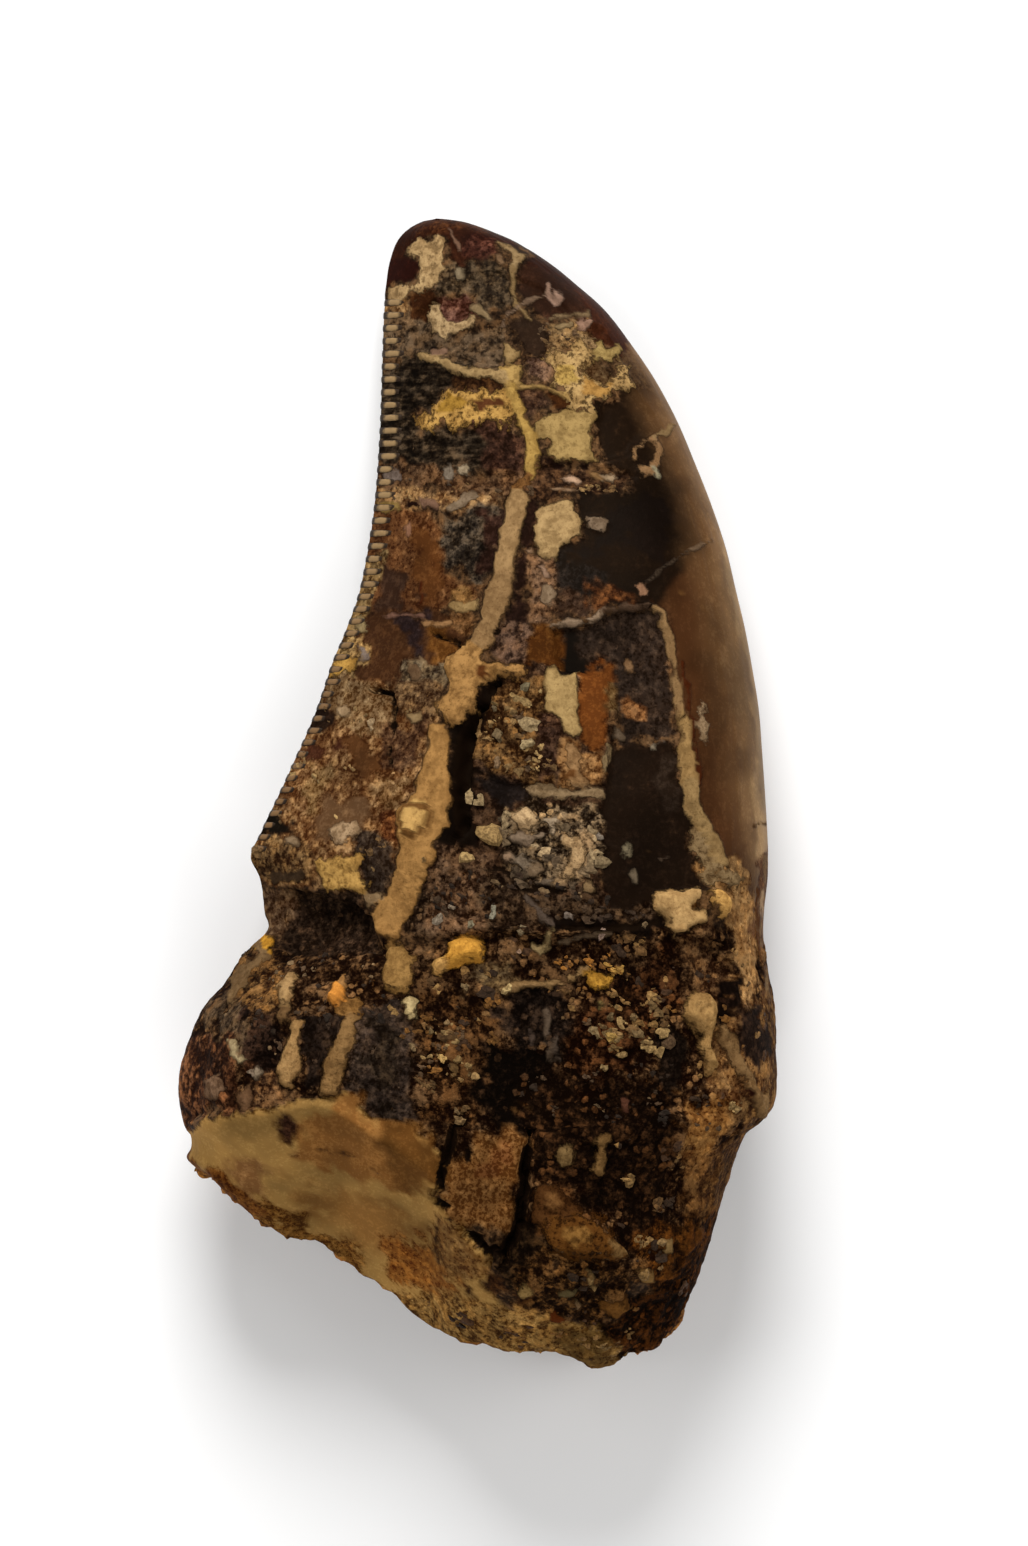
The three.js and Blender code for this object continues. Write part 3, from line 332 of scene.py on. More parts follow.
    ((146, 128, 76), 0.2, 0.2, 0.3, [4.7, -8.1, 5.1, -8.2, 5, -8.6, 4.75, -8.6]),
    ((92, 58, 42), 0.1, 0.2, 0.4, [5.7, -12.2, 6.1, -12.2, 6.1, -12.8, 5.7, -12.9]),
    ((196, 142, 48), 0.1, 0.2, 0.4, [-9, -6.3, -8.7, -5.75, -8.3, -5.7, -8.3, -6.1, -8.6, -6.4]),
]
# Veins and light lines: colour, width at each end, height, raggedness and line.
LINES = [
    ((130, 105, 68), 0.2, 0.14, 0.03, 0.15, [1.45, 20.9, 1.35, 20, 1.45, 19.6, 2.1, 18.8]),
    ((114, 92, 72), 0.12, 0.1, 0.02, 0.12, [0.9, 18.5, 1.05, 19.05, 2.7, 19.9]),
    ((124, 102, 72), 0.13, 0.13, 0.02, 0.12, [2.6, 18.88, 4.3, 19.12]),
    ((122, 92, 72), 0.08, 0.12, 0.02, 0.1, [-1.15, 22.5, -0.72, 21.6]),
    ((152, 122, 102), 0.12, 0.12, 0.03, 0.15, [2.85, 20.2, 2.9, 19.7, 3.1, 19.45, 3.25, 19.7, 3.15, 19.95]),
    ((158, 130, 86), 0.22, 0.42, 0.1, 0.2, [-2.3, 17.45, -1.6, 17.25, -0.6, 16.8, 0.2, 16.6, 1, 16.55]),
    ((162, 130, 76), 0.16, 0.12, 0.08, 0.1, [1.8, 16.12, 2.5, 16.1, 3.7, 15.55]),
    ((168, 134, 70), 0.36, 0.46, 0.1, 0.12, [1.35, 16.1, 1.55, 15.2, 2.05, 14.1, 2.12, 13.5, 1.95, 12.45]),
    ((112, 76, 40), 0.4, 0.5, 0.06, 0.35, [1.9, 12.4, 1.6, 11.9]),
    ((153, 121, 79), 0.7, 0.74, 0.14, 0.1, [1.62, 11.5, 1.25, 10.1, 1, 8.4]),
    ((138, 107, 69), 0.76, 0.8, 0.14, 0.12, [1, 8.4, 0.5, 6.5, 0.2, 6]),
    ((142, 108, 72), 0.2, 0.24, 0.08, 0.2, [6.3, 13.2, 6.35, 13.6, 6.7, 13.9, 7.1, 14.05, 7.3, 13.6, 7.2, 13,
        6.9, 12.65, 6.4, 12.7]),
    ((140, 114, 76), 0.14, 0.1, 0.03, 0.1, [7.1, 14.05, 7.85, 14.6]),
    ((152, 142, 112), 0.16, 0.1, 0.03, 0.1, [7.1, 12.75, 7.3, 12.4]),
    ((70, 57, 44), 0.05, 0.06, 0.01, 0.1, [6.6, 8.2, 8.5, 9.55]),
    ((112, 90, 68), 0.12, 0.12, 0.02, 0.15, [8.5, 9.55, 9.2, 9.9]),
    ((152, 128, 102), 0.12, 0.17, 0.05, 0.08, [2.7, 6.5, 4.7, 6.8, 4.95, 7.1]),
    ((86, 66, 50), 0.1, 0.12, 0.03, 0.15, [4.95, 7.1, 6, 7.28, 7, 7.26]),
    ((148, 116, 76), 0.16, 0.2, 0.06, 0.08, [7, 7.28, 7.3, 7.1, 7.48, 6.5, 7.66, 5.8, 8.15, 3]),
    ((150, 118, 72), 0.2, 0.46, 0.06, 0.1, [8.15, 3, 8.44, 0.2]),
    ((146, 117, 74), 0.5, 0.34, 0.06, 0.1, [8.44, 0.2, 8.55, -0.6, 9.7, -2.8]),
    ((70, 30, 10), 0.1, 0.1, -0.02, 0.05, [8.2, 5, 8.75, 0.2]),
    ((138, 114, 82), 0.3, 0.38, 0.08, 0.3, [2, 0, 4.7, -0.1]),
    ((116, 84, 68), 0.08, 0.08, 0.03, 0.1, [-3.7, 6.95, -3, 6.97, -2.1, 6.85]),
    ((150, 112, 72), 0.16, 0.16, 0.04, 0.15, [-2, 6.6, -1.1, 6.6]),
    ((70, 30, 10), 0.12, 0.06, -0.02, 0.15, [-2.2, 8.2, -2.3, 7.4]),
    ((76, 50, 27), 0.07, 0.05, -0.02, 0.05, [10.9, -1.45, 11.6, -1.3]),
    ((88, 52, 22), 0.08, 0.08, -0.01, 0.1, [11.05, -4, 11.2, -6.8]),
    ((86, 72, 60), 0.2, 0.26, 0.05, 0.15, [1.7, -4.1, 2.8, -5.3]),
    ((112, 92, 70), 0.1, 0.12, 0.04, 0.15, [3.3, -5.95, 5.2, -5.6]),
    ((142, 120, 80), 0.24, 0.26, 0.12, 0.12, [2.78, -5.55, 2.8, -5.9, 2.5, -6.3, 2.15, -6.1]),
    ((104, 70, 34), 0.16, 0.16, -0.1, 0.05, [-2.4, -0.5, -1.95, -0.7, -1.8, -1.15, -2.05, -1.6, -2.5, -1.75,
        -2.9, -1.5, -3, -1.05, -2.8, -0.65, -2.4, -0.5]),
    ((66, 50, 34), 0.3, 0.2, -0.02, 0.4, [-8.2, -3.4, -7.6, -3.5, -7, -3.3]),
    ((150, 118, 76), 0.16, 0.2, 0.2, 0.12, [1, -7.85, 1.6, -7.65, 3.2, -7.55, 3.8, -7.3, 4.2, -7]),
    ((94, 78, 62), 0.2, 0.12, 0.08, 0.15, [2.7, -8.6, 2.8, -10.7]),
    ((84, 70, 58), 0.1, 0.1, 0.06, 0.15, [3.1, -9.6, 3.15, -10.8]),
    ((76, 62, 52), 0.1, 0.14, 0.06, 0.15, [2.1, -9.4, 2.25, -10.2]),
    ((34, 12, 6), 0.12, 0.1, -0.1, 0.1, [10.55, -11.9, 10.75, -12.6, 10.8, -13.2]),
    ((40, 16, 9), 0.12, 0.1, -0.1, 0.1, [11.5, -8.4, 11.55, -9.1]),
    ((48, 28, 14), 0.05, 0.05, -0.04, 0.08, [-0.95, -16.75, -1.4, -17, -1.65, -17.3, -1.5, -18.7]),
    ((70, 42, 22), 0.05, 0.04, -0.02, 0.1, [-6.4, -14.1, -4.8, -14.4]),
    ((66, 40, 22), 0.06, 0.04, -0.02, 0.1, [-4.4, -15, -3.8, -15.15]),
    ((118, 92, 60), 0.3, 0.3, 0.1, 0.3, [-9.4, -5.7, -8.6, -6.3, -9.6, -7.4, -10, -8.2]),
]

# ---------------------------------------------------------------- the ground colours under the mineral


def ground(dark, light, outline, specks=0.4, rough=0.6, soft=0.2, lumps=0.0, fibre=0.0, streak=0.0):
    """One patch of the tooth's own surface, from its dark and light tones to how rough it is."""
    return dict(
        dark=dark, light=light, outline=outline, soft=soft, specks=specks, rough=rough, lumps=lumps,
        fibre=fibre, streak=streak,
    )


# The smooth enamel along the front edge, in bands lightened toward the edge as a painted sheen, the
# reflection of bright surroundings at a glancing angle. It wraps round onto both faces.
FRONT_ENAMEL_AND_SHEEN = [
    ground((68, 43, 24), (114, 82, 52), [7.2, 7.3, 7.8, 5.8, 8.5, 0.2, 9.4, -2, 10.8, -4.4, 11, -7, 14, -7,
        14, 9, 8.7, 9.2, 7.9, 8.2], 0.06, 0.36, 0.4, fibre=0.9),
    ground((91, 67, 43), (138, 112, 79), [5.4, 18.2, 7.4, 13.6, 7.8, 12.2, 8.5, 9, 9.3, 4, 9.9, 0, 10.9, -4,
        11.2, -7, 14, -7, 14, 12, 8, 20], 0.06, 0.36, 1.3, fibre=0.7),
    ground((123, 98, 69), (159, 133, 98), [6.3, 17.6, 8.7, 12.4, 9.6, 9, 10.6, 1, 11, -7, 14, -7, 14, 12, 8,
        20], 0.06, 0.36, 0.7, fibre=0.5),
    ground((156, 130, 94), (190, 164, 124), [7, 16.9, 9.3, 12, 10.4, 7, 10.95, 3, 11.15, -5, 14, -5, 14, 12,
        8, 20], 0.06, 0.36, fibre=0.4),
]
# Later patches lie over earlier ones. soft is how far a patch fades into its neighbour, and lumps is the
# height of its grain. fibre runs along the tooth and streak across it.
GROUND_ABOVE = [
    ground((30, 20, 13), (98, 74, 50), [-20, 30, 20, 30, 20, -30, -20, -30], 0.42, 0.5, lumps=0.03),
    # the crown, from the tip down
    ground((20, 13, 8), (104, 86, 66), [-4.2, 19.2, -2.2, 19.3, -1.9, 18.4, -1.3, 17.9, -0.6, 18.5, 0.8, 18.6,
        1.1, 17.4, 0.6, 16.9, -1.2, 17, -2.4, 17.4, -4.2, 17.2], 0.5, 0.5, 0.2, 0.02, streak=0.3),
    ground((16, 11, 7), (92, 78, 62), [-4.4, 17.3, -2.2, 17.4, -1.5, 16.9, -0.5, 16.6, -2.2, 15.2, -2.2, 14.3,
        0.3, 14.1, 0.4, 13, -1.5, 12.2, -4.4, 12.2], 0.31, 0.5, 0.2, 0.02, streak=0.7),
    ground((20, 14, 10), (100, 84, 64), [-1.2, 21, 0, 21.3, 1.2, 21.1, 1.4, 20.4, 1.3, 19.4, 0.4, 18.9, -0.2,
        19.8, -1.5, 19.9], 0.4, 0.5, 0.2, 0.02, streak=0.2),
    ground((48, 26, 12), (86, 56, 30), [-2.7, 19.8, -1.8, 20, -1.8, 19.5, -2, 19.2, -2.6, 19.2], 0.15, 0.5,
        0.12, 0.01),
    ground((58, 32, 26), (128, 94, 80), [-1.7, 19.7, -0.4, 19.7, -0.4, 19.2, -1, 18.95, -1.5, 19.1], 0.3, 0.5,
        0.15, 0.02),
    ground((40, 28, 20), (66, 50, 38), [1, 19.1, 1.8, 19.3, 2.7, 19, 2.7, 17.9, 2.5, 17.2, 1.9, 17.4, 1.1,
        18], 0.1, 0.5, 0.15, 0.01),
    ground((52, 36, 22), (136, 112, 78), [2.7, 18.9, 4.2, 19.1, 4.8, 18.8, 4.9, 18.2, 4.4, 17.7, 3.6, 17.9,
        2.7, 17.2], 0.5, 0.6, 0.2, 0.03),
    ground((50, 34, 28), (124, 98, 78), [1.8, 17.2, 2.6, 17.3, 3, 17, 2.9, 16.2, 1.9, 16.3], 0.4, 0.6, 0.15,
        0.03),
    ground((74, 54, 34), (130, 108, 76), [4.2, 17.4, 5.5, 17.2, 5.5, 16.5, 5, 16.1, 4.5, 16.3, 4.1, 16.8],
        0.3, 0.6, 0.15, 0.02),
    ground((38, 22, 12), (100, 68, 38), [-0.9, 16.6, 0.8, 16.4, 1.2, 16.2, 1.1, 15.8, -0.8, 16.2], 0.3, 0.5,
        0.12, 0.02),
    ground((36, 22, 16), (92, 68, 50), [1.6, 16.05, 2.6, 16.05, 2.9, 15.5, 2.8, 14.9, 2.1, 14.7, 1.8, 15],
        0.4, 0.5, 0.12, 0.02),
    ground((58, 32, 12), (100, 62, 28), [2.8, 15.8, 3.6, 15.5, 3.9, 15.3, 3.2, 15, 2.8, 15], 0.15, 0.5, 0.1,
        0.01),
    ground((34, 20, 15), (84, 58, 45), [-0.3, 14.3, 0.3, 14.6, 1.3, 14.6, 1.8, 13.9, 1.8, 12.9, 1.6, 12.4,
        0.6, 12.5, 0.1, 13, 0.2, 13.7], 0.3, 0.5, 0.2, 0.02),
    ground((34, 18, 9), (108, 82, 58), [-4.3, 12.8, -2.9, 12.9, -1.4, 12.5, 1.6, 12.5, 1.6, 11.9, -4.3, 11.9],
        0.45, 0.6, 0.2, 0.04),
    ground((69, 45, 27), (155, 125, 86), [-4.6, 11.9, -1.2, 11.8, 0, 11.95, 0.9, 11.75, 1, 11.3, -0.4, 11.3,
        -1.2, 11, -4.8, 10.9], 0.45, 0.6, 0.12, 0.05),
    ground((28, 16, 11), (96, 70, 48), [2.2, 13.3, 2.9, 13.05, 5.4, 12.8, 6.2, 12.5, 5.4, 11.9, 4.2, 11.6, 2,
        11.5], 0.4, 0.6, 0.15, 0.05),
    ground((20, 9, 7), (46, 28, 20), [2.5, 13.05, 4.9, 12.95, 5.6, 12.75, 4.4, 12.6, 2.8, 12.7], 0.1, 0.6,
        0.1, 0.02),
    ground((23, 14, 7), (50, 34, 21), [4.6, 15.3, 5.2, 15.3, 6, 16.1, 7.2, 16.2, 8.6, 13.6, 9.3, 10.2, 9, 7.8,
        7.4, 7.2, 4.9, 7.2, 3.2, 9, 3.2, 9.4, 4, 9.9, 4.2, 10.6, 3.8, 11.8, 5.6, 11.9, 6.2, 12.4, 4.9, 13,
        4.6, 14], 0.08, 0.42, 0.12, 0.004),
    ground((18, 11, 8), (32, 22, 16), [5.2, 11.4, 7.2, 11.8, 7.6, 10, 7.1, 8.9, 6.6, 9.4, 5.2, 9.6, 4.2, 9,
        3.4, 9.3, 5, 10.4], 0.03, 0.38, 0.35, 0.002),
    ground((26, 22, 20), (60, 50, 44), [2.9, 9.3, 4.4, 9.2, 5.2, 8.4, 4.6, 7.4, 3.6, 7.4, 3, 8.2], 0.2, 0.5,
        0.25, 0.01),
    ground((34, 20, 16), (74, 52, 40), [1.7, 11.4, 2.3, 11.2, 2.3, 9.9, 2, 9.2, 1.9, 6.6, 1.1, 6.4, 1.7, 9.4],
        0.15, 0.6, 0.12, 0.02),
    ground((48, 32, 22), (124, 96, 72), [1.9, 9.4, 2.4, 9.4, 3, 9, 3.2, 7, 2.6, 6.6, 1.9, 6.6], 0.5, 0.6,
        0.15, 0.04),
    ground((48, 34, 26), (94, 72, 56), [3.1, 7.6, 4.4, 7.6, 4.6, 7, 2.8, 6.7], 0.3, 0.6, 0.2, 0.02),
    ground((60, 34, 17), (130, 84, 48), [4.4, 8.2, 6.3, 8.2, 6.8, 7.6, 5.2, 7.2, 4.4, 7.4], 0.4, 0.5, 0.2,
        0.02),
    ground((80, 50, 28), (142, 103, 66), [-5, 11, -2.4, 11.1, -1.5, 10.7, -1.4, 9.2, -1, 8.6, 0.4, 8.2, 0.2,
        7.1, -5.4, 7, -5, 9.2], 0.3, 0.5, 0.2, 0.01, fibre=0.3),
    ground((94, 59, 29), (146, 103, 61), [-2.6, 10.2, -1.8, 9.9, -1.2, 8.2, -1.9, 7.5, -2.6, 8.2], 0.12, 0.5,
        0.3, 0.01, fibre=0.3),
    ground((58, 40, 30), (92, 68, 50), [-3.9, 8.6, -2.8, 8.6, -2.6, 7.2, -3.9, 7.1], 0.15, 0.5, 0.25, 0.01),
    ground((68, 46, 22), (142, 110, 68), [-1.4, 8, -0.7, 8.3, 0.3, 8.1, 0.1, 7, -1.2, 6.9], 0.5, 0.55, 0.2,
        0.03),
    ground((18, 14, 12), (96, 84, 70), [-1.5, 11, 0.9, 11.4, 1.1, 10.6, 0.5, 8.2, -0.5, 8.2, -1.4, 8.8], 0.38,
        0.5, 0.2, 0.02),
    ground((44, 27, 22), (88, 62, 50), [0.1, 11, 1.1, 11, 0.6, 8.4, 0.2, 8.8], 0.2, 0.5, 0.2, 0.01),
    ground((64, 41, 24), (104, 72, 42), [-5.6, 7, -1, 7, 0, 6, -1, 5.4, -1.2, 4.4, -3, 4.2, -6.4, 4.3], 0.15,
        0.55, 0.2, 0.015, fibre=0.4),
    ground((36, 26, 28), (78, 62, 58), [-3.2, 7, -2, 6.9, -2.1, 5.8, -2.4, 5.2, -3.1, 5.3, -2.8, 6.2], 0.15,
        0.5, 0.15, 0.01),
    ground((84, 54, 22), (126, 88, 46), [-2.1, 6.5, -1.2, 6.4, -0.6, 5.7, -1.1, 5, -2, 5], 0.15, 0.5, 0.12,
        0.02),
    ground((70, 48, 26), (130, 96, 62), [-1.3, 7, 0, 7, -0.1, 6.1, -0.6, 5.8, -1.2, 6.2], 0.4, 0.55, 0.2,
        0.03),
    ground((36, 27, 21), (114, 100, 78), [-3.2, 5.2, -1.2, 5.3, -1, 4.4, -1.4, 4, -3.2, 4.2], 0.5, 0.6, 0.15,
        0.04),
    ground((60, 42, 22), (146, 122, 82), [-5.2, 9.2, -3.95, 9.4, -4.1, 7, -4.5, 6.2, -4.7, 5, -5.2, 4.5, -6.6,
        4.3, -5.8, 6.2], 0.5, 0.6, 0.12, 0.04),
    # the taupe side of the crown's base
    ground((78, 50, 27), (160, 129, 90), [-7.4, 4.2, -1.6, 4.1, -1.6, 2.9, -2.1, 2, -2.3, 0, -3.2, -2.4, -4.2,
        -4, -9.6, -3.9, -9.6, -1.4], 0.35, 0.7, 0.15, 0.05),
    ground((94, 72, 48), (150, 128, 96), [-5.8, 4.1, -4.4, 4, -3.5, 3.6, -3.5, 2.2, -4.2, 1.9, -5.6, 2.3, -6,
        3], 0.3, 0.75, 0.15, 0.05),
    ground((60, 42, 28), (132, 106, 74), [-3.3, 4.1, -1.7, 4.2, -1.6, 3, -2.2, 2.7, -3.2, 2.8], 0.4, 0.7,
        0.15, 0.05),
    ground((28, 18, 12), (68, 48, 36), [-7, 3.5, -5.9, 3.4, -5.6, 2.6, -5.8, 2.1, -7.4, 2], 0.2, 0.7, 0.15,
        0.03),
    ground((60, 34, 22), (98, 64, 44), [-7.6, 2, -5.2, 2, -5.5, 1.3, -6.6, 1.1, -7.8, 1.2], 0.15, 0.7, 0.2,
        0.03),
    ground((82, 54, 30), (118, 84, 53), [-5.6, 1.9, -3.9, 1.9, -3.8, 0.2, -5.4, 0.1], 0.1, 0.7, 0.25, 0.03),
    ground((50, 32, 22), (108, 82, 58), [-3.8, 2.3, -2.2, 2.5, -2.4, 0.8, -3, 0.4, -3.9, 0.8], 0.35, 0.7, 0.2,
        0.04),
    ground((92, 68, 42), (148, 121, 86), [-4.2, 0.6, -2.5, 0.5, -2.7, -0.4, -3.2, -0.9, -4.3, -0.8], 0.35,
        0.7, 0.2, 0.05),
    ground((88, 66, 46), (120, 96, 70), [-6.4, 0, -4.4, 0, -4, -1, -4.4, -1.8, -6.8, -2.2], 0.1, 0.7, 0.2,
        0.04),
    ground((100, 78, 50), (152, 126, 88), [-6.8, 1.1, -5.8, 1.1, -5.9, -0.2, -6.5, -1, -7.1, -0.8], 0.3, 0.7,
        0.2, 0.04),
    ground((20, 16, 12), (54, 43, 33), [-8.8, -0.9, -7.5, -0.8, -7.2, -1.8, -8.9, -2], 0.15, 0.75, 0.15,
        0.04),
    ground((48, 31, 18), (126, 100, 66), [-9.6, -1.9, -6.8, -1.9, -6.3, -2.6, -6.4, -3.8, -9.6, -3.7], 0.45,
        0.75, 0.2, 0.07),
    ground((42, 33, 28), (86, 74, 62), [-4.7, -1.5, -3.6, -2.1, -3.4, -3.2, -3.6, -4.1, -4.4, -4, -4.4, -3.4,
        -4.8, -2.7], 0.25, 0.75, 0.12, 0.05),
    ground((70, 40, 22), (148, 100, 58), [-4, -0.9, -3.2, -1, -3, -2.2, -3.7, -2.1], 0.3, 0.7, 0.12, 0.04),
    ground((62, 44, 31), (122, 100, 76), [-9.4, -3.7, -7.3, -3.8, -7.2, -5, -7.8, -5.9, -9.4, -5.9], 0.35,
        0.75, 0.15, 0.05),
    # a dark band below the crown's ledge: painted shadow
    ground((30, 21, 15), (78, 60, 46), [-7.7, -3.9, -4.6, -4.2, -3.9, -5.8, -4.2, -6.2, -8.4, -6.1, -7.6,
        -5.4, -7.2, -4.6], 0.28, 0.7, 0.12, 0.07),
    # between the vein and the front enamel
    ground((30, 17, 10), (90, 68, 50), [-1.1, 3.2, 0.8, 4.4, 1, 5.2, 2, 6.4, 4.8, 6.8, 5.4, 5.4, 5.4, 0.2,
        4.9, -3, 7, -5.3, -3.4, -5.8, -1.2, -1.8], 0.4, 0.6, 0.15, 0.05),
    # near-black along the cleft beside the vein: painted shade
    ground((14, 8, 5), (32, 21, 14), [-1.1, 2.6, -0.5, 3, 0.1, 4, 1, 4.7, 1.3, 4.3, 0.6, 3.9, 0.3, 2.9, -0.1,
        2.4, -0.2, 1.6, -0.5, 1.2, -0.1, 0.8, 0, -0.2, -0.3, -1.2, -0.2, -2, -0.8, -2.3, -1.4, -2.1], 0.04,
        0.6, 0.08, 0.02),
    ground((24, 19, 19), (56, 47, 42), [0, 0.7, 0.9, 0.6, 2.2, -0.2, 1.4, -0.7, 0.6, -0.6], 0.15, 0.6, 0.15,
        0.04),
    ground((40, 25, 13), (104, 78, 47), [0.6, 3.9, 1, 4.2, 2.6, 4.6, 2.8, 4.3, 2.7, 3.2, 3.2, 2.9, 3.3, 0.3,
        2.4, 0, -0.5, 1.3, 0, 2], 0.45, 0.8, 0.08, 0.11),
    ground((44, 29, 23), (92, 68, 52), [2.5, 3, 3.2, 2.9, 3.3, 2.2, 3.3, 0.6, 2.6, 0.4, 2.3, 1.2], 0.35, 0.8,
        0.15, 0.08),
    ground((100, 58, 24), (164, 106, 50), [4, 4.7, 4.5, 5, 4.6, 5.4, 5.25, 5.5, 5.2, 2.2, 5, 1.6, 4.5, 1.4,
        4.1, 2], 0.12, 0.6, 0.08, 0.015, fibre=0.6),
    ground((90, 60, 33), (164, 126, 82), [3.3, 2, 4.1, 1.9, 4.2, 1.5, 5, 1.6, 5.2, 1, 4.9, 0, 3.3, 0.2], 0.4,
        0.7, 0.12, 0.06),
    ground((92, 70, 42), (138, 114, 76), [5.25, 4.3, 5.55, 4.2, 5.65, 3.2, 5.45, 2.7, 5.2, 3], 0.2, 0.7, 0.08,
        0.03),
    ground((30, 22, 18), (70, 56, 46), [3.2, 6.5, 4.9, 6.75, 5.3, 7.1, 7.2, 7.2, 7.7, 6, 8.1, 2.2, 7.2, 1.9,
        5.5, 1.9, 5.7, 4, 5.4, 5.4, 4.4, 5.3, 3.9, 4.8, 3.4, 4.6], 0.3, 0.5, 0.12, 0.03, fibre=0.3),
    ground((12, 8, 6), (30, 22, 16), [3.3, 6.3, 3.9, 6.4, 3.8, 5.4, 4.2, 5.1, 3.9, 4.8, 3.3, 4.7], 0.08, 0.5,
        0.1, 0.01),
    ground((76, 45, 16), (118, 80, 38), [2, 6.5, 3.1, 6.5, 3.3, 5.8, 3.25, 4.9, 2.7, 4.8, 2, 5], 0.15, 0.6,
        0.1, 0.02),
    ground((70, 42, 22), (152, 110, 70), [5.8, 3.5, 6.9, 3.4, 7, 2.8, 6, 2.9], 0.45, 0.6, 0.15, 0.03),
    ground((34, 22, 18), (118, 92, 74), [0.9, 6.4, 1.9, 6.6, 2, 5.3, 1, 5.2, 0.7, 5.7], 0.45, 0.6, 0.12,
        0.03),
    ground((25, 16, 10), (54, 38, 26), [5, 1, 5.4, 1.9, 6.6, 1.9, 8.1, 2.2, 8.2, 0.6, 8.6, -1.2, 8.5, -2.4,
        8.9, -3, 8.9, -3.9, 7, -3.9, 7, -5.3, 5, -5.2], 0.1, 0.42, 0.1, 0.012),
    ground((40, 31, 25), (72, 58, 47), [7.3, 1.9, 8.1, 2, 8.2, 0.4, 8, -0.4, 7.5, -0.9, 7.2, 0.4], 0.15, 0.45,
        0.25, 0.01, streak=0.3),
    ground((30, 22, 16), (132, 112, 86), [0.8, -0.5, 1.3, -0.8, 2.4, -0.4, 4.8, -0.4, 4.9, -1.9, 4.4, -3.2,
        2.8, -4, 1.8, -3.9, 0.8, -2.9, 1, -2], 0.4, 0.8, 0.12, 0.16),
    ground((22, 12, 6), (80, 63, 47), [-2.6, -3, -1, -2.6, 1, -3.2, 1.8, -4.1, 3.8, -4, 5, -3.2, 5, -4.4, 7,
        -4.4, 7, -5.3, -3.4, -5.8], 0.38, 0.7, 0.15, 0.09),
    ground((34, 20, 12), (98, 76, 57), [-1.9, -2.4, -0.9, -2.3, 0, -3, 0, -5.4, -1.8, -5.6, -2.2, -4.4], 0.45,
        0.7, 0.2, 0.09),
    # a near-black strip below the crown's ledge: painted shadow
    ground((15, 9, 6), (40, 28, 20), [2.9, -5.3, 7.2, -4.9, 7.6, -5.8, 4.4, -5.6, 2.9, -6], 0.1, 0.7, 0.12,
        0.04),
    # the front enamel, with its painted sheen toward the edge
    *FRONT_ENAMEL_AND_SHEEN,
    # the maroon tip
    ground((49, 23, 11), (98, 59, 38), [-4.8, 19.9, -2.9, 20.4, -2.5, 21, -2.8, 21.5, -2.3, 22, -1.5, 22.1,
        -1.2, 21.3, 0.4, 21.3, 0.9, 21.9, 1.9, 21.7, 1.9, 20.7, 1.6, 19.6, 2.6, 19.9, 4.3, 19.2, 5.7, 17.4, 6,
        18.2, 6, 20, 0, 24.5, -5, 24.5], 0.12, 0.45, 0.15, 0.003, fibre=0.3),
    ground((58, 30, 14), (104, 66, 38), [-2.6, 22.3, -1, 22.5, 0.6, 22.3, 0.6, 24, -2.8, 24], 0.25, 0.45,
        fibre=0.2),
    ground((50, 22, 15), (104, 66, 54), [-0.7, 22.3, 0.7, 22.2, 0.9, 21.5, 0, 21.2, -0.6, 21.4], 0.3, 0.45,
        0.15),
    ground((46, 27, 18), (90, 60, 44), [1.7, 21, 3.2, 20.8, 4, 19.9, 4.2, 19.3, 2.8, 19, 1.9, 19.4, 1.6,
        19.8], 0.1, 0.45),
    ground((34, 12, 8), (72, 35, 24), [-3.6, 21.4, -2.9, 21.6, -2.5, 21.2, -2.5, 20.6, -3.7, 20.4], 0.08,
        0.45, 0.12),
    ground((86, 62, 38), (150, 122, 84), [-3.7, 20, -2.9, 20, -2.8, 19.5, -3.2, 19.2, -3.8, 19.3], 0.4, 0.5,
        0.1, 0.02),
    # the root's matrix
    ground((26, 13, 6), (102, 77, 52), [-13, -5.8, -3.9, -6, 0.6, -5.6, 3.3, -5.8, 9.9, -5.2, 14, -6.5, 14,
        -20, 9, -21, -2, -15, -4.4, -13, -8, -12.4, -13, -13.6], 0.34, 0.85, 0.2, 0.14),
    ground((46, 30, 18), (124, 92, 54), [-10, -8.2, -9.4, -6.6, -8, -6.4, -7.4, -8.2, -8.6, -8.6], 0.45, 0.8,
        0.2, 0.12),
    ground((48, 38, 28), (98, 80, 60), [-11.2, -8.4, -9.7, -8, -9.2, -9, -9.3, -10.4, -10.8, -10.2], 0.4, 0.7,
        0.3, 0.06),
    ground((20, 13, 11), (64, 46, 36), [-9.3, -8.3, -8.1, -8.4, -7.9, -10.2, -8.2, -11.2, -9.6, -10.9, -9.2,
        -9.8], 0.3, 0.8, 0.2, 0.1),
    ground((43, 24, 14), (120, 81, 54), [-14, -9.6, -10.8, -9.8, -9.6, -11, -9.4, -12, -9.8, -13, -14, -13.4],
        0.34, 0.65, 0.3, 0.08),
    ground((36, 20, 14), (122, 92, 62), [-9.6, -11.4, -7.7, -11.4, -7.6, -12.5, -9.6, -12.9], 0.45, 0.7, 0.2,
        0.08),
    ground((20, 14, 12), (66, 52, 42), [-7, -8.8, -5.6, -8.8, -5.9, -10.6, -6.4, -12.1, -7.1, -12], 0.3, 0.7,
        0.15, 0.05, fibre=0.6),
    ground((30, 23, 20), (80, 66, 56), [-5, -8.4, -3.2, -8.2, -2.5, -9.4, -2.3, -11.6, -2.5, -13.4, -3.6,
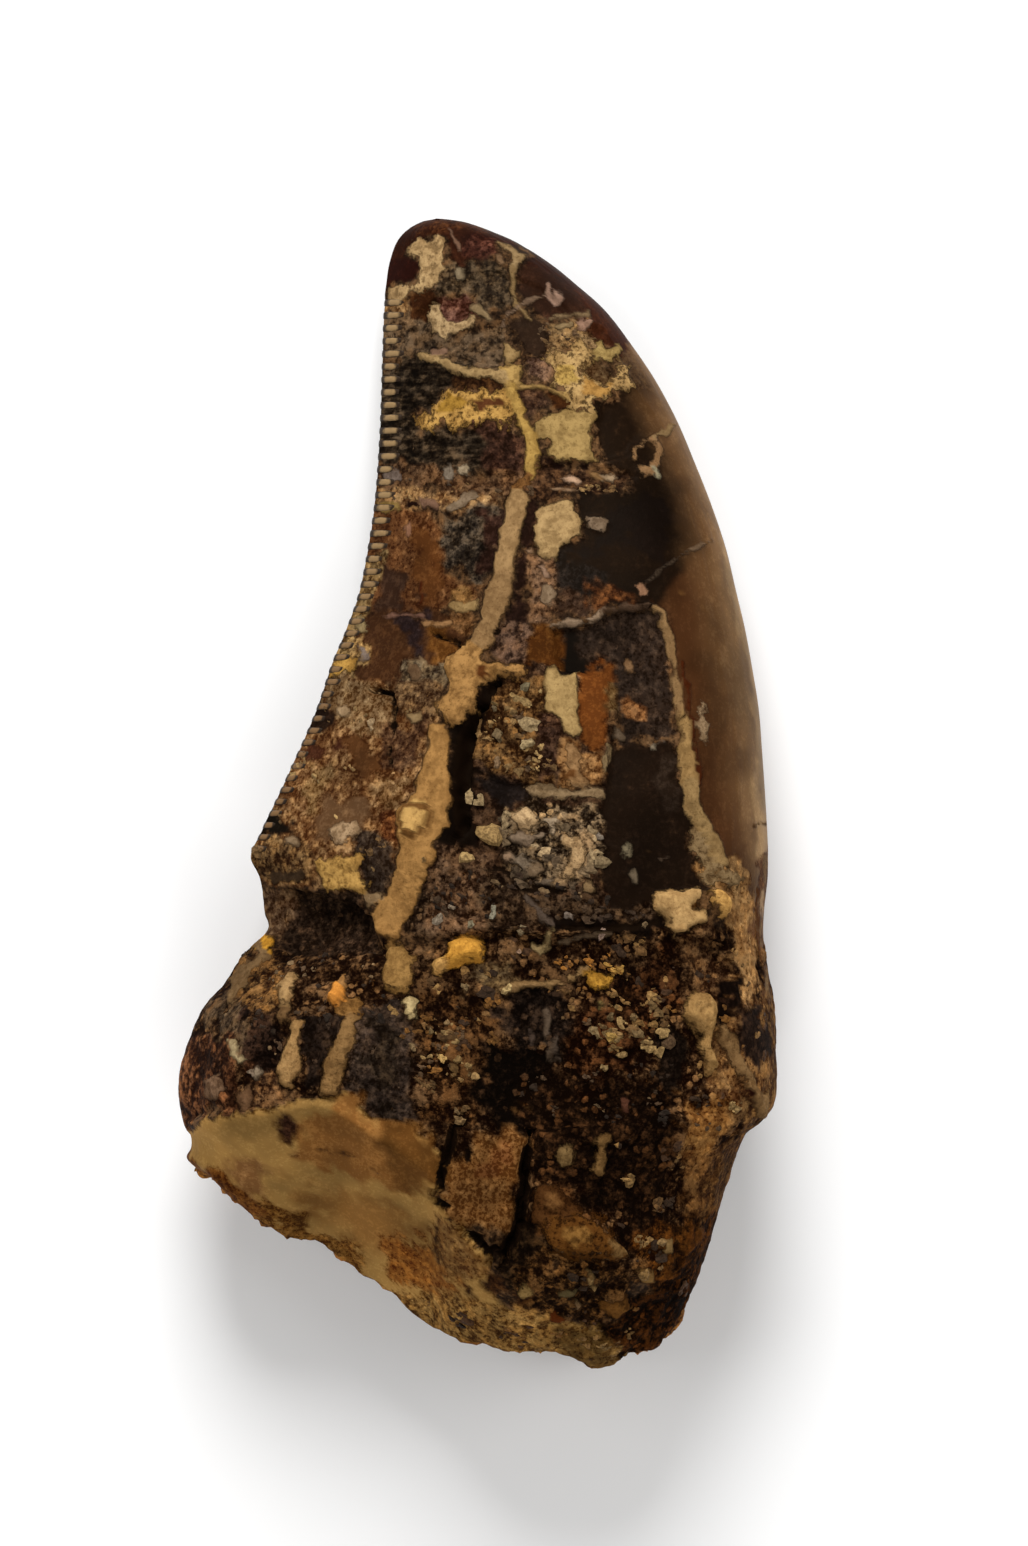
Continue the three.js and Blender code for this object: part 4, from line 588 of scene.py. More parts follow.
        -13.4, -5.6, -12, -5.1, -10.4], 0.4, 0.6, 0.2, 0.05),
    ground((24, 18, 14), (70, 58, 46), [-4.2, -9, -3.4, -9.6, -3, -12.8, -3.8, -12.6, -4.4, -10.8], 0.3, 0.6,
        0.3, 0.04),
    ground((25, 12, 5), (91, 64, 38), [-2.4, -8, 0.6, -7.9, 0.9, -10.4, 0.6, -12.2, -0.4, -13.4, -2.4, -13.2,
        -2.2, -10.6], 0.34, 0.8, 0.3, 0.12),
    ground((58, 46, 32), (112, 94, 66), [0, -6.9, 1.1, -6.7, 1.6, -7.4, 1.2, -7.9, 0, -7.9], 0.45, 0.7, 0.2,
        0.05),
    ground((16, 11, 9), (62, 48, 38), [1, -8.1, 3.6, -8.1, 4, -9.4, 3.4, -10.8, 0.8, -10], 0.28, 0.8, 0.3,
        0.08, fibre=0.3),
    ground((10, 6, 4), (56, 40, 28), [0.8, -10.4, 2.6, -10.3, 3, -11.2, 2.8, -13.6, 0.9, -13.5, 0.4, -12.4],
        0.16, 0.8, 0.6, 0.09),
    ground((17, 9, 5), (62, 41, 24), [2.8, -11, 5.2, -11.4, 7.6, -11, 8, -13, 7.8, -18.2, 6, -18, 5, -16.4,
        2.2, -15.4, 2.1, -13.4], 0.24, 0.85, 0.3, 0.1),
    ground((16, 11, 8), (48, 36, 28), [7, -9.4, 8.4, -9.4, 8.6, -10.6, 8, -12.2, 6.9, -11.4], 0.2, 0.85, 0.25,
        0.08),
    ground((22, 9, 4), (82, 53, 31), [4, -8.2, 7.6, -6.4, 8.2, -7.6, 7.4, -9.6, 7, -11.2, 4.2, -11.6, 3.7,
        -9.8], 0.32, 0.85, 0.3, 0.14),
    # the strip beside the front edge
    ground((52, 33, 21), (120, 90, 59), [8.9, -5.3, 9.8, -5.6, 10.4, -8.4, 9.9, -9.4, 8.6, -6.4], 0.4, 0.8,
        0.25, 0.1),
    ground((97, 70, 42), (162, 128, 84), [9.1, -3, 10.2, -2.6, 10.9, -4.2, 11.1, -7.6, 10.9, -8.6, 10.3, -8.4,
        9.75, -5.6, 9.2, -4], 0.5, 0.7, 0.2, 0.05, fibre=0.8),
    ground((83, 53, 30), (130, 94, 58), [10.8, -2.8, 14, -2.8, 14, -8.6, 11.6, -8.6], 0.4, 0.55, 0.3, 0.01,
        fibre=0.9),
    ground((92, 70, 44), (134, 108, 72), [11.45, -3, 14, -3, 14, -8.2, 11.7, -8.2, 11.4, -6], 0.5, 0.55, 0.2,
        0.01, fibre=0.6),
    ground((14, 8, 6), (46, 30, 22), [9.7, -7.6, 10.2, -7.4, 10.3, -8.8, 10, -9.5, 9.7, -9.4], 0.15, 0.8,
        0.12, 0.06),
    ground((76, 50, 30), (146, 112, 70), [9.4, -9.4, 11.4, -8.6, 14, -8.4, 14, -13.4, 8.8, -13.4, 8.8, -11.4],
        0.45, 0.75, 0.3, 0.07, fibre=0.8),
    ground((30, 20, 15), (66, 48, 36), [10.3, -8.7, 11.2, -8.7, 11.4, -10.2, 11.1, -11.1, 10.6, -10.6, 10.25,
        -9.8], 0.3, 0.65, 0.12, 0.03),
    ground((84, 54, 26), (136, 100, 56), [7.9, -11.9, 9.8, -12, 9.9, -13.4, 9.6, -15.4, 8.4, -15.6, 7.9,
        -14.6], 0.45, 0.75, 0.25, 0.07, fibre=0.9),
    ground((62, 40, 21), (124, 90, 52), [7.8, -14.8, 10.4, -13.6, 14, -13.4, 12, -17.6, 9, -17.4, 7.9, -16.6],
        0.42, 0.75, 0.3, 0.07, fibre=0.8),
    ground((33, 17, 5), (91, 55, 20), [6.2, -17.2, 8.8, -17, 14, -17.4, 12, -20.4, 8.7, -20.2, 6.4, -19.8],
        0.42, 0.8, 0.3, 0.1),
    # the plates between the clefts
    ground((102, 70, 37), (164, 123, 76), [-0.9, -14.2, -0.7, -13.6, 0.1, -13.3, 0.9, -13.5, 1.5, -13.4, 2,
        -13.8, 1.55, -16, 1.75, -16.6, 1.2, -17.7, -0.9, -16.7, -1.35, -16], 0.25, 0.65, 0.18, 0.06,
        fibre=0.3),
    ground((104, 66, 36), (156, 112, 68), [0, -13.9, 1.1, -13.9, 1.3, -14.8, 0.3, -15.2], 0.25, 0.65, 0.3,
        0.03),
    ground((22, 14, 8), (66, 48, 30), [1.2, -17.5, 2.3, -17, 2.6, -18.4, 2.2, -19.8, 0.9, -20, 0.8, -19],
        0.25, 0.8, 0.2, 0.08),
    ground((50, 31, 16), (104, 70, 38), [2.1, -15.6, 2.7, -15.3, 4.9, -16.8, 4.2, -17.2, 2.6, -17.4, 2.2,
        -16.6], 0.4, 0.7, 0.15, 0.05),
    ground((28, 16, 8), (104, 74, 42), [2, -18.4, 6.2, -18.6, 6.4, -20.6, 5.6, -21.2, 2.8, -20.8, 1.2, -20.2],
        0.4, 0.8, 0.25, 0.14),
    # the sloping break at the root's end: its own tan, lightened as painted light because it faces away from
    # the key light
    ground((166, 134, 80), (190, 155, 96), [-12.4, -13.8, -11.3, -13.55, -10.6, -13.05, -8, -12.5, -6.8, -12,
        -5.2, -12.1, -3.4, -13.5, -2.5, -13.6, -1.8, -13.9, -1.5, -15.2, -1.8, -16.2, -0.9, -16.9, 0, -17.3,
        0.3, -18.2, 0.3, -19.4, 1.2, -20.6, 5.2, -21.3, 6.6, -22.4, 5, -26, -12, -22], 0.05, 0.62, 0.05, 0.03,
        fibre=0.35),
    ground((137, 102, 56), (162, 122, 69), [-7.4, -15.6, -3.2, -16, -2.4, -17.6, -3.4, -18.2, -6.6, -17.6],
        0.06, 0.62, 0.9, 0.02, fibre=0.35),
    ground((104, 72, 31), (158, 116, 60), [-9, -16.25, -8.4, -16.15, -7.6, -16.9, -6.7, -17.2, -6.2, -17.9,
        -5, -18.3, -4.6, -19.4, -9.4, -18.2], 0.3, 0.7, 0.3, 0.05),
    ground((146, 104, 56), (182, 136, 80), [-7, -12.2, -5.2, -12.2, -3.8, -13.3, -2, -13.9, -1.6, -15.4, -3,
        -15.9, -7, -14.8], 0.1, 0.6, 0.4, 0.03, fibre=0.5),
    ground((106, 73, 35), (146, 106, 56), [-3.6, -13.5, -2, -13.8, -1.6, -15.2, -1.9, -16, -3, -15.9, -3.8,
        -14.8], 0.1, 0.62, 0.6, 0.02, fibre=0.35),
    ground((128, 94, 58), (170, 134, 88), [-9.8, -14.2, -8.7, -14.4, -8.4, -15.8, -9.7, -15.8], 0.1, 0.6, 0.9,
        0.01),
    ground((96, 58, 22), (146, 100, 48), [-12.2, -14.6, -11.2, -14.6, -9.8, -15.6, -8.6, -16.8, -9.6, -17.4,
        -12.2, -16], 0.35, 0.65, 0.25, 0.03),
    ground((108, 66, 26), (152, 104, 48), [-3.4, -18, -2.2, -18.2, -0.4, -19, -0.2, -19.8, -2, -20, -3.6,
        -19.4], 0.4, 0.65, 0.35, 0.02),
    ground((98, 70, 36), (138, 106, 62), [-1.55, -17, -0.6, -17, 0.1, -18.2, 0.4, -19, -0.3, -19.6, -1.4,
        -19.4], 0.4, 0.6, 0.15, 0.02),
    ground((50, 30, 14), (88, 58, 30), [-0.6, -19.3, 1, -19, 1.5, -20, 0.4, -20.2, -0.7, -19.95], 0.3, 0.7,
        0.2, 0.04),
    ground((80, 54, 26), (168, 132, 76), [-3.2, -20, 0, -20, 1.4, -20.6, 3.2, -21, 3.4, -22.3, 3, -25, -4,
        -24], 0.5, 0.75, 0.15, 0.06),
    ground((88, 66, 34), (126, 98, 54), [3, -21.1, 5.2, -21.2, 5.9, -22.2, 5.6, -24, 3, -24], 0.42, 0.7, 0.2,
        0.05),
    ground((56, 34, 24), (98, 66, 46), [-7.55, -12.4, -7.35, -12.4, -7.15, -13.2, -7.1, -13.8, -7.3, -14.2,
        -7.55, -14.25, -7.8, -13.9, -7.8, -13.3], 0.25, 0.65, 0.25, 0.02),
    ground((17, 8, 3), (65, 37, 14), [5.6, -19.6, 8.8, -19.6, 8.8, -22.4, 5.8, -22.6, 5, -21.2], 0.38, 0.8,
        0.2, 0.14),
]
GROUND_BELOW = [
    ground((57, 30, 12), (131, 84, 43), [-20, 30, 20, 30, 20, -30, -20, -30], 0.35, 0.4, lumps=0.01,
        fibre=0.7),
    # the front enamel, with its painted sheen toward the edge
    *FRONT_ENAMEL_AND_SHEEN,
    ground((37, 16, 6), (94, 54, 29), [-6, 17.6, 8, 17, 8, 30, -6, 30], 0.25, 0.38, 0.8, 0.005, fibre=0.4),
    ground((21, 12, 6), (94, 70, 46), [-5, 15.6, -1.4, 15.8, 0.4, 12.4, -0.6, 8.4, -2.6, 4.4, -5.4, 1.4, -9,
        -1], 0.45, 0.5, 0.8, 0.02, streak=0.5),
    ground((20, 10, 5), (102, 72, 43), FLAKED_BELOW[0][1], 0.42, 0.6, 0.12, 0.03),
    ground((31, 16, 6), (116, 80, 44), FLAKED_BELOW[1][1], 0.42, 0.6, 0.12, 0.03),
    ground((24, 12, 5), (131, 92, 49), [-14, -5.6, -4, -6.2, 1, -5.6, 6, -6.2, 14, -6.6, 14, -26, -14, -26],
        0.42, 0.85, 0.3, 0.1),
    ground((41, 22, 10), (118, 78, 48), [-14, -6, -8.8, -6.4, -8.4, -12.6, -14, -13.6], 0.35, 0.7, 0.5,
        0.08),
    ground((64, 38, 14), (146, 102, 51), [-14, -13.8, -6, -14.2, 4, -18.4, 9.4, -18.8, 9, -26, -14, -26],
        0.42, 0.66, 0.4, 0.05),
]
FLAKES_BELOW = [
    (TAN, 0.08, 0.12, 0.3, [1.2, 14.6, 2.6, 15.2, 3.4, 14.2, 2.8, 12.8, 1.6, 13]),
    (PLATE, 0.1, 0.12, 0.2, [4.4, 1.2, 5.4, 1.6, 5.9, 0.4, 5.2, -0.8, 4.5, -0.2]),
    (CRUST, 0.1, 0.12, 0.5, [-2.4, -1.2, -0.6, -0.6, 0.8, -1.8, -0.4, -3, -2.2, -2.6]),
    ((150, 120, 78), 0.3, 0.3, 0.15, [-6.2, -7.4, -5.2, -7.2, -4.9, -8.6, -5.8, -9.4, -6.4, -8.6]),
]
LINES_BELOW = [
    (VEIN, 0.3, 0.6, 0.12, 0.15, [2.6, 18.6, 2, 15.2, 1, 11.4, 0.4, 7.4, -0.6, 3]),
    ((110, 88, 62), 0.1, 0.1, 0.03, 0.12, [-3.4, 9, -1.2, 8.4, 1.4, 9, 4.6, 8.2, 8.4, 8.8]),
    ((120, 92, 58), 0.2, 0.4, 0.05, 0.2, [8.2, 2, 8.6, -2, 9.2, -5.4]),
]
CLEFTS_BELOW = [
    (0.3, 0.6, [-0.6, 2.8, -1, -0.4, -1.8, -3.4, -2.2, -5.6]),
    (0.25, 0.5, [5.4, -6.4, 5, -9.6, 5.6, -13, 5.2, -16.2]),
    (0.2, 0.4, [3.6, 12.2, 4.2, 9.2, 4, 6.2]),
]

# ---------------------------------------------------------------- small tools

NEAR = 1.6  # no outline is felt beyond this many millimetres
LIFT = 0.01  # the skin keeps this clear of the floor
OCTAVE_SHARE = 0.55  # how much each finer layer of noise counts, against the one before
PEBBLE_ROUNDNESS = 1.3


def linear(colour):
    """A colour given as 0-255 screen values, as Blender's linear red, green and blue."""
    share = np.asarray(colour, dtype=float) / 255
    return np.where(share <= 0.04045, share / 12.92, ((share + 0.055) / 1.055) ** 2.4)


def smooth_step(low, high, value):
    share = np.clip((value - low) / (high - low), 0, 1)
    return share * share * (3 - 2 * share)


def lerp(a, b, share):
    return a + (b - a) * share


def scatter_number(ix, iy, iz, seed):
    """A repeatable random number from 0 to 1 for each whole-numbered place."""
    mixed = (ix * 374761393 + iy * 668265263 + iz * 2147483647 + seed * 974711) & 0xFFFFFFFF
    mixed = ((mixed ^ (mixed >> 13)) * 1274126177) & 0xFFFFFFFF
    mixed = ((mixed ^ (mixed >> 16)) * 2246822519) & 0xFFFFFFFF
    return (mixed ^ (mixed >> 15)) / 0xFFFFFFFF


def cloud(points, size, seed, octaves=3):
    """Smooth noise from -1 to 1, whose largest blots are about size millimetres across."""
    total = np.zeros(len(points))
    weight, reach = 1.0, 0.0
    for octave in range(octaves):
        place = points / size * 2**octave
        whole = np.floor(place).astype(np.int64)
        part = place - whole
        part = part * part * (3 - 2 * part)
        value = np.zeros(len(points))
        for corner in range(8):
            dx, dy, dz = corner & 1, corner >> 1 & 1, corner >> 2 & 1
            share = np.prod(np.where([dx, dy, dz], part, 1 - part), axis=1)
            x, y, z = whole[:, 0] + dx, whole[:, 1] + dy, whole[:, 2] + dz
            value += share * scatter_number(x, y, z, seed + octave)
        total += weight * (2 * value - 1)
        reach += weight
        weight *= OCTAVE_SHARE
    return total / reach


def waver(points, size, seeds, octaves, reach):
    """Shifts in x and y, up to about reach millimetres, which change over about size millimetres."""
    return np.stack([cloud(points, size, seed, octaves) for seed in seeds], axis=1) * reach


def pebbled(points, size, seed):
    """Rounded grains about size millimetres across, as their height from 0 to 1."""
    place = points / size
    whole = np.floor(place).astype(np.int64)
    nearest = np.full(len(points), 9.0)
    for step in range(27):
        cell = whole + np.array([step % 3, step // 3 % 3, step // 9]) - 1
        x, y, z = cell[:, 0], cell[:, 1], cell[:, 2]
        middle = cell + np.stack([scatter_number(x, y, z, seed + k) for k in range(3)], axis=1)
        away = np.linalg.norm(place - middle, axis=1)
        nearest = np.minimum(nearest, away)
    return np.clip(1 - nearest * nearest * PEBBLE_ROUNDNESS, 0, 1)


def line_distance(places, line):
    """How far each place is from a line, given as x and y by turns, and how far along it that is, 0 to 1."""
    points = np.reshape(line, (-1, 2)).astype(float)
    spans = np.diff(points, axis=0)
    lengths = np.linalg.norm(spans, axis=1)
    walked = np.concatenate([[0], np.cumsum(lengths)])
    nearest = np.full(len(places), np.inf)
    along = np.zeros(len(places))
    for start, span, length, before in zip(points, spans, lengths, walked):
        share = np.clip(((places - start) @ span) / (length * length), 0, 1)
        away = np.linalg.norm(places - start - share[:, None] * span, axis=1)
        closer = away < nearest
        nearest = np.where(closer, away, nearest)
        along = np.where(closer, before + share * length, along)
    return nearest, along / walked[-1]


def outline_distance(places, outline):
    """How far each place is outside a closed outline, negative inside it, and never more than NEAR."""
    points = np.reshape(outline, (-1, 2)).astype(float)
    low, high = points.min(axis=0) - NEAR, points.max(axis=0) + NEAR
    distance = np.full(len(places), NEAR)
    near = np.all((places > low) & (places < high), axis=1)
    close = places[near]
    away, _ = line_distance(close, np.vstack([points, points[:1]]))
    inside = np.zeros(len(close), dtype=bool)
    for (ax, ay), (bx, by) in zip(points, np.roll(points, -1, axis=0)):
        if ay == by:
            continue
        spans_it = (ay > close[:, 1]) != (by > close[:, 1])
        inside ^= spans_it & (close[:, 0] < ax + (close[:, 1] - ay) * (bx - ax) / (by - ay))
    distance[near] = np.where(inside, -away, np.minimum(away, NEAR))
    return distance


# ---------------------------------------------------------------- the tooth's skin


FIRST_RING = 0.03  # the t of the first ring, just under the tip


def section_at(t):
    """The smooth curve through the sections, at each t from 0 to the last section."""
    i = np.clip(np.floor(t).astype(int), 0, LAST_SECTION - 1)
    f = (t - i)[:, None]
    here, there = SECTIONS[i], SECTIONS[i + 1]
    in_slope = (there - SECTIONS[np.maximum(i - 1, 0)]) / 2
    out_slope = (SECTIONS[np.minimum(i + 2, LAST_SECTION)] - here) / 2
    bend = 2 * (here - there) + in_slope + out_slope
    return here + f * (in_slope + f * (3 * (there - here) - 2 * in_slope - out_slope + f * bend))


def line_height(line, x):
    """The y of a line, given as x and y by turns, at each x."""
    return np.interp(x, line[0::2], line[1::2])


def skin_points(t, w, upper):
    """Points of the smooth skin at section t and place w across it, on the upper or the lower face."""
    hind_x, hind_y, front_x, front_y, edge, top, bottom = section_at(t).T
    bottom = np.maximum(bottom, 0)
    root_share = smooth_step(CROWN_END, ROOT_START, t)
    fade_in, fade_out = SERRATED_FADES
    serrated = smooth_step(0, fade_in, SERRATED_FROM + fade_in - hind_y)
    serrated *= smooth_step(0, fade_out, hind_y - SERRATED_TO)
    x = lerp(hind_x + SERRATION_SEAT * serrated, front_x, w)
    end_x, end_y, far_x, far_y = SECTIONS[-1][:4]
    bulge = line_height(BREAK_EDGE, lerp(end_x, far_x, w)) - lerp(end_y, far_y, w)
    y = lerp(hind_y, front_y, w) + bulge * smooth_step(ROOT_START, LAST_SECTION, t)
    hind = 1 - np.maximum(1 - w / CREST, 0) ** HIND_FULLNESS
    front = np.sqrt(1 - (np.maximum(w - CREST, 0) / (1 - CREST)) ** FRONT_FULLNESS)
    oval = np.sqrt(np.maximum(1 - np.abs(2 * w - 1) ** ROOT_FULLNESS, 0))
    full = lerp(np.where(w < CREST, hind, front), oval, root_share)
    fall = BREAK_SLOPE * np.maximum(line_height(BREAK_RIM, x) - y, 0)
    swell = sum(h * np.exp(-((x - sx) ** 2 + (y - sy) ** 2) / (r * r)) for sx, sy, r, h in SWELLINGS)
    high = edge + np.maximum(top - edge - fall + swell, LEAST_RISE) * full
    low = edge - (edge - bottom) * np.minimum(full * UNDERSIDE_FLATNESS, 1)
    return np.stack([x, y, np.where(upper, high, low)], axis=1), full


def even_sections(rows):
    """Values of t whose sections are evenly spaced along the tooth, from just under the tip to the break."""
    t = np.linspace(FIRST_RING, LAST_SECTION, 4000)
    s = section_at(t)
    middle = np.stack([(s[:, 0] + s[:, 2]) / 2, (s[:, 1] + s[:, 3]) / 2, s[:, 5]], axis=1)
    steps = np.linalg.norm(np.diff(middle, axis=0), axis=1) + 0.002
    walked = np.concatenate([[0], np.cumsum(steps)])
    return np.interp(np.linspace(0, walked[-1], rows), walked, t)


def skin_grid(rows, over, wall_rows):
    """The smooth skin as a closed mesh: its points, its faces, and where each point lies on it."""
    under = over // 2
    w_over = (1 - np.cos(np.pi * np.arange(over + 1) / over)) / 2
    w_under = ((1 - np.cos(np.pi * np.arange(1, under) / under)) / 2)[::-1]
    w_ring = np.concatenate([w_over, w_under])
    upper_ring = np.arange(len(w_ring)) <= over
    ring = len(w_ring)
    t_rows = even_sections(rows)
    points, full = skin_points(np.repeat(t_rows, ring), np.tile(w_ring, rows), np.tile(upper_ring, rows))
    # the wall of the break runs from the last ring to a line at half its height
    last = points[-ring:]
    other, _ = skin_points(np.full(ring, t_rows[-1]), w_ring, ~upper_ring)
    half = (last + other) / 2
    waves = 1 + BREAK_WAVE_HEIGHT * np.sin(BREAK_WAVES * w_ring)
    half[:, 1] += BREAK_INSET * np.sin(np.pi * w_ring) * waves
    down_wall = np.arange(1, wall_rows + 1) / wall_rows
    extra = []
    for share in down_wall:
        extra.append(lerp(last, half, np.array([share**1.5, share**1.5, share])))
    tip_point, _ = skin_points(np.zeros(1), np.full(1, 0.5), np.ones(1, dtype=bool))
    points = np.concatenate([points, *extra, tip_point])
    # for each point: how far across it is, from 0 at the hind edge to 1, its face, and how far down the wall
    w = np.concatenate([np.tile(w_ring, rows + wall_rows), [0.5]])
    upper = np.concatenate([np.tile(upper_ring, rows + wall_rows), [True]])
    wall = np.concatenate([np.zeros(rows * ring), np.repeat(down_wall, ring), [0]])
    full = np.concatenate([full, np.ones(wall_rows * ring), [1]])
    faces = []
    tip = len(points) - 1
    following = np.roll(np.arange(ring), -1)
    for k in range(ring):
        faces.append((tip, k, following[k]))
    for row in range(rows + wall_rows - 2):
        here, there = row * ring, (row + 1) * ring
        faces.extend((here + k, there + k, there + following[k], here + following[k]) for k in range(ring))
    # the last row of the wall closes the upper side on the lower side
    here, there = (rows + wall_rows - 2) * ring, (rows + wall_rows - 1) * ring
    for k in range(over):
        faces.append((here + k, there + k, there + k + 1, here + k + 1))
    for k in range(over, ring):
        from_end = 2 * (ring - k)
        shared = [there + from_end, there + from_end - 1, there + from_end - 2]
        faces.append((here + k, *shared, here + following[k]))
    return points, faces, dict(w=w, upper=upper, full=full, wall=wall)


def sunk_by(places, patches, edge):
    """The depth that is gone at each place, from patches of (depth, outline)."""
    gone = np.zeros(len(places))
    for depth, outline in patches:
        gone = np.maximum(gone, depth * smooth_step(edge, -edge, outline_distance(places, outline)))
    return gone


def paint_ground(places, patches, ragged):
    """Each place's tones and finish from the patches of ground, later ones over earlier ones."""
    look = None
    for patch in patches:
        tones = np.concatenate([linear(patch["dark"]), linear(patch["light"])])
        rest = [patch[name] for name in ("specks", "rough", "lumps", "fibre", "streak")]
        values = np.concatenate([tones, rest])
        if look is None:
            look = np.tile(values, (len(places), 1))
            continue
        away = outline_distance(places, patch["outline"])
        wander = min(0.7, 1.8 * patch["soft"] + 0.05) if patch["lumps"] else 0.04
        away = away + ragged * wander
        cover = smooth_step(0.6 * patch["soft"], -0.6 * patch["soft"], away)
        look = lerp(look, values, cover[:, None])
    return look


THIN_LINE_HELP = 0.03  # lines are this much wider on each side, so the mesh's points catch the thin ones


def paint_mineral(places, flakes, lines):
    """Distance to the nearest mineral, its raggedness, colour and thickness, and its height at each place."""
    count = len(places)
    distance = np.full(count, NEAR)
    ragged = np.full(count, 0.1)
    colour = np.tile(linear(TAN), (count, 1))
    height, thick = np.zeros(count), np.zeros(count)
    pieces = []
    for tone, rise, edge, rag, outline in flakes:
        away = outline_distance(places, outline)
        pieces.append((tone, rise, 0.6 * edge, min(rag, max(-0.8 * away.min(), 0.05)), away))
    for tone, from_width, to_width, rise, rag, line in lines:
        away, along = line_distance(places, line)
        half = lerp(from_width, to_width, along) / 2 + THIN_LINE_HELP
        pieces.append((tone, rise, 0.08, min(rag, 0.6 * to_width), np.minimum(away - half, NEAR)))
    for tone, rise, edge, rag, away in pieces:
        nearer = (away < distance) | (away < 0)
        distance = np.minimum(distance, away)
        ragged = np.where(nearer, rag, ragged)
        colour = np.where(nearer[:, None], linear(tone), colour)
        thick = np.where(nearer, rise, thick)
        height = np.maximum(height, rise * smooth_step(0.03, -edge, away))
    return distance, ragged, colour, thick, height


def new_mesh_object(name, points, faces, smooth=True):
    mesh = bpy.data.meshes.new(name)
    mesh.from_pydata((np.asarray(points) * MM).tolist(), [], faces)
    mesh.polygons.foreach_set("use_smooth", np.full(len(mesh.polygons), smooth))
    mesh.update()
    piece = bpy.data.objects.new(name, mesh)
    bpy.context.scene.collection.objects.link(piece)
    return piece


def keep_on_points(mesh, name, values):
    """Stores numbers, vectors or colours on a mesh's points, for its material to read."""
    values = np.asarray(values, dtype=float)
    if values.ndim == 1:
        mesh.attributes.new(name, "FLOAT", "POINT").data.foreach_set("value", values)
    elif name.endswith("_place"):
        mesh.attributes.new(name, "FLOAT_VECTOR", "POINT").data.foreach_set("vector", values.ravel())
    else:
        rgba = np.concatenate([values, np.ones((len(values), 1))], axis=1)
        mesh.attributes.new(name, "FLOAT_COLOR", "POINT").data.foreach_set("color", rgba.ravel())


# Relief of the skin: sizes across and heights, in millimetres.
PEBBLES, CHUNKS, SMALL_CHUNKS = 0.8, 1.1, 0.42
CHUNK_SHARES = (1.7, 1.1)
GRAIN_HEIGHT, GRAIN_SINK = 1.25, 1.1  # as shares of a patch's lumps
FIBRE_HEIGHT, WRINKLE_HEIGHT, FOLD_HEIGHT = 0.045, 0.012, 0.16
WALL_LUMPS = 0.2  # the broken wall is at least this lumpy
CRACK_EDGE = 0.06  # how far the lip of a crack or hollow is rounded
TAPER = 6  # a cleft narrows over about a sixth of its length at each end


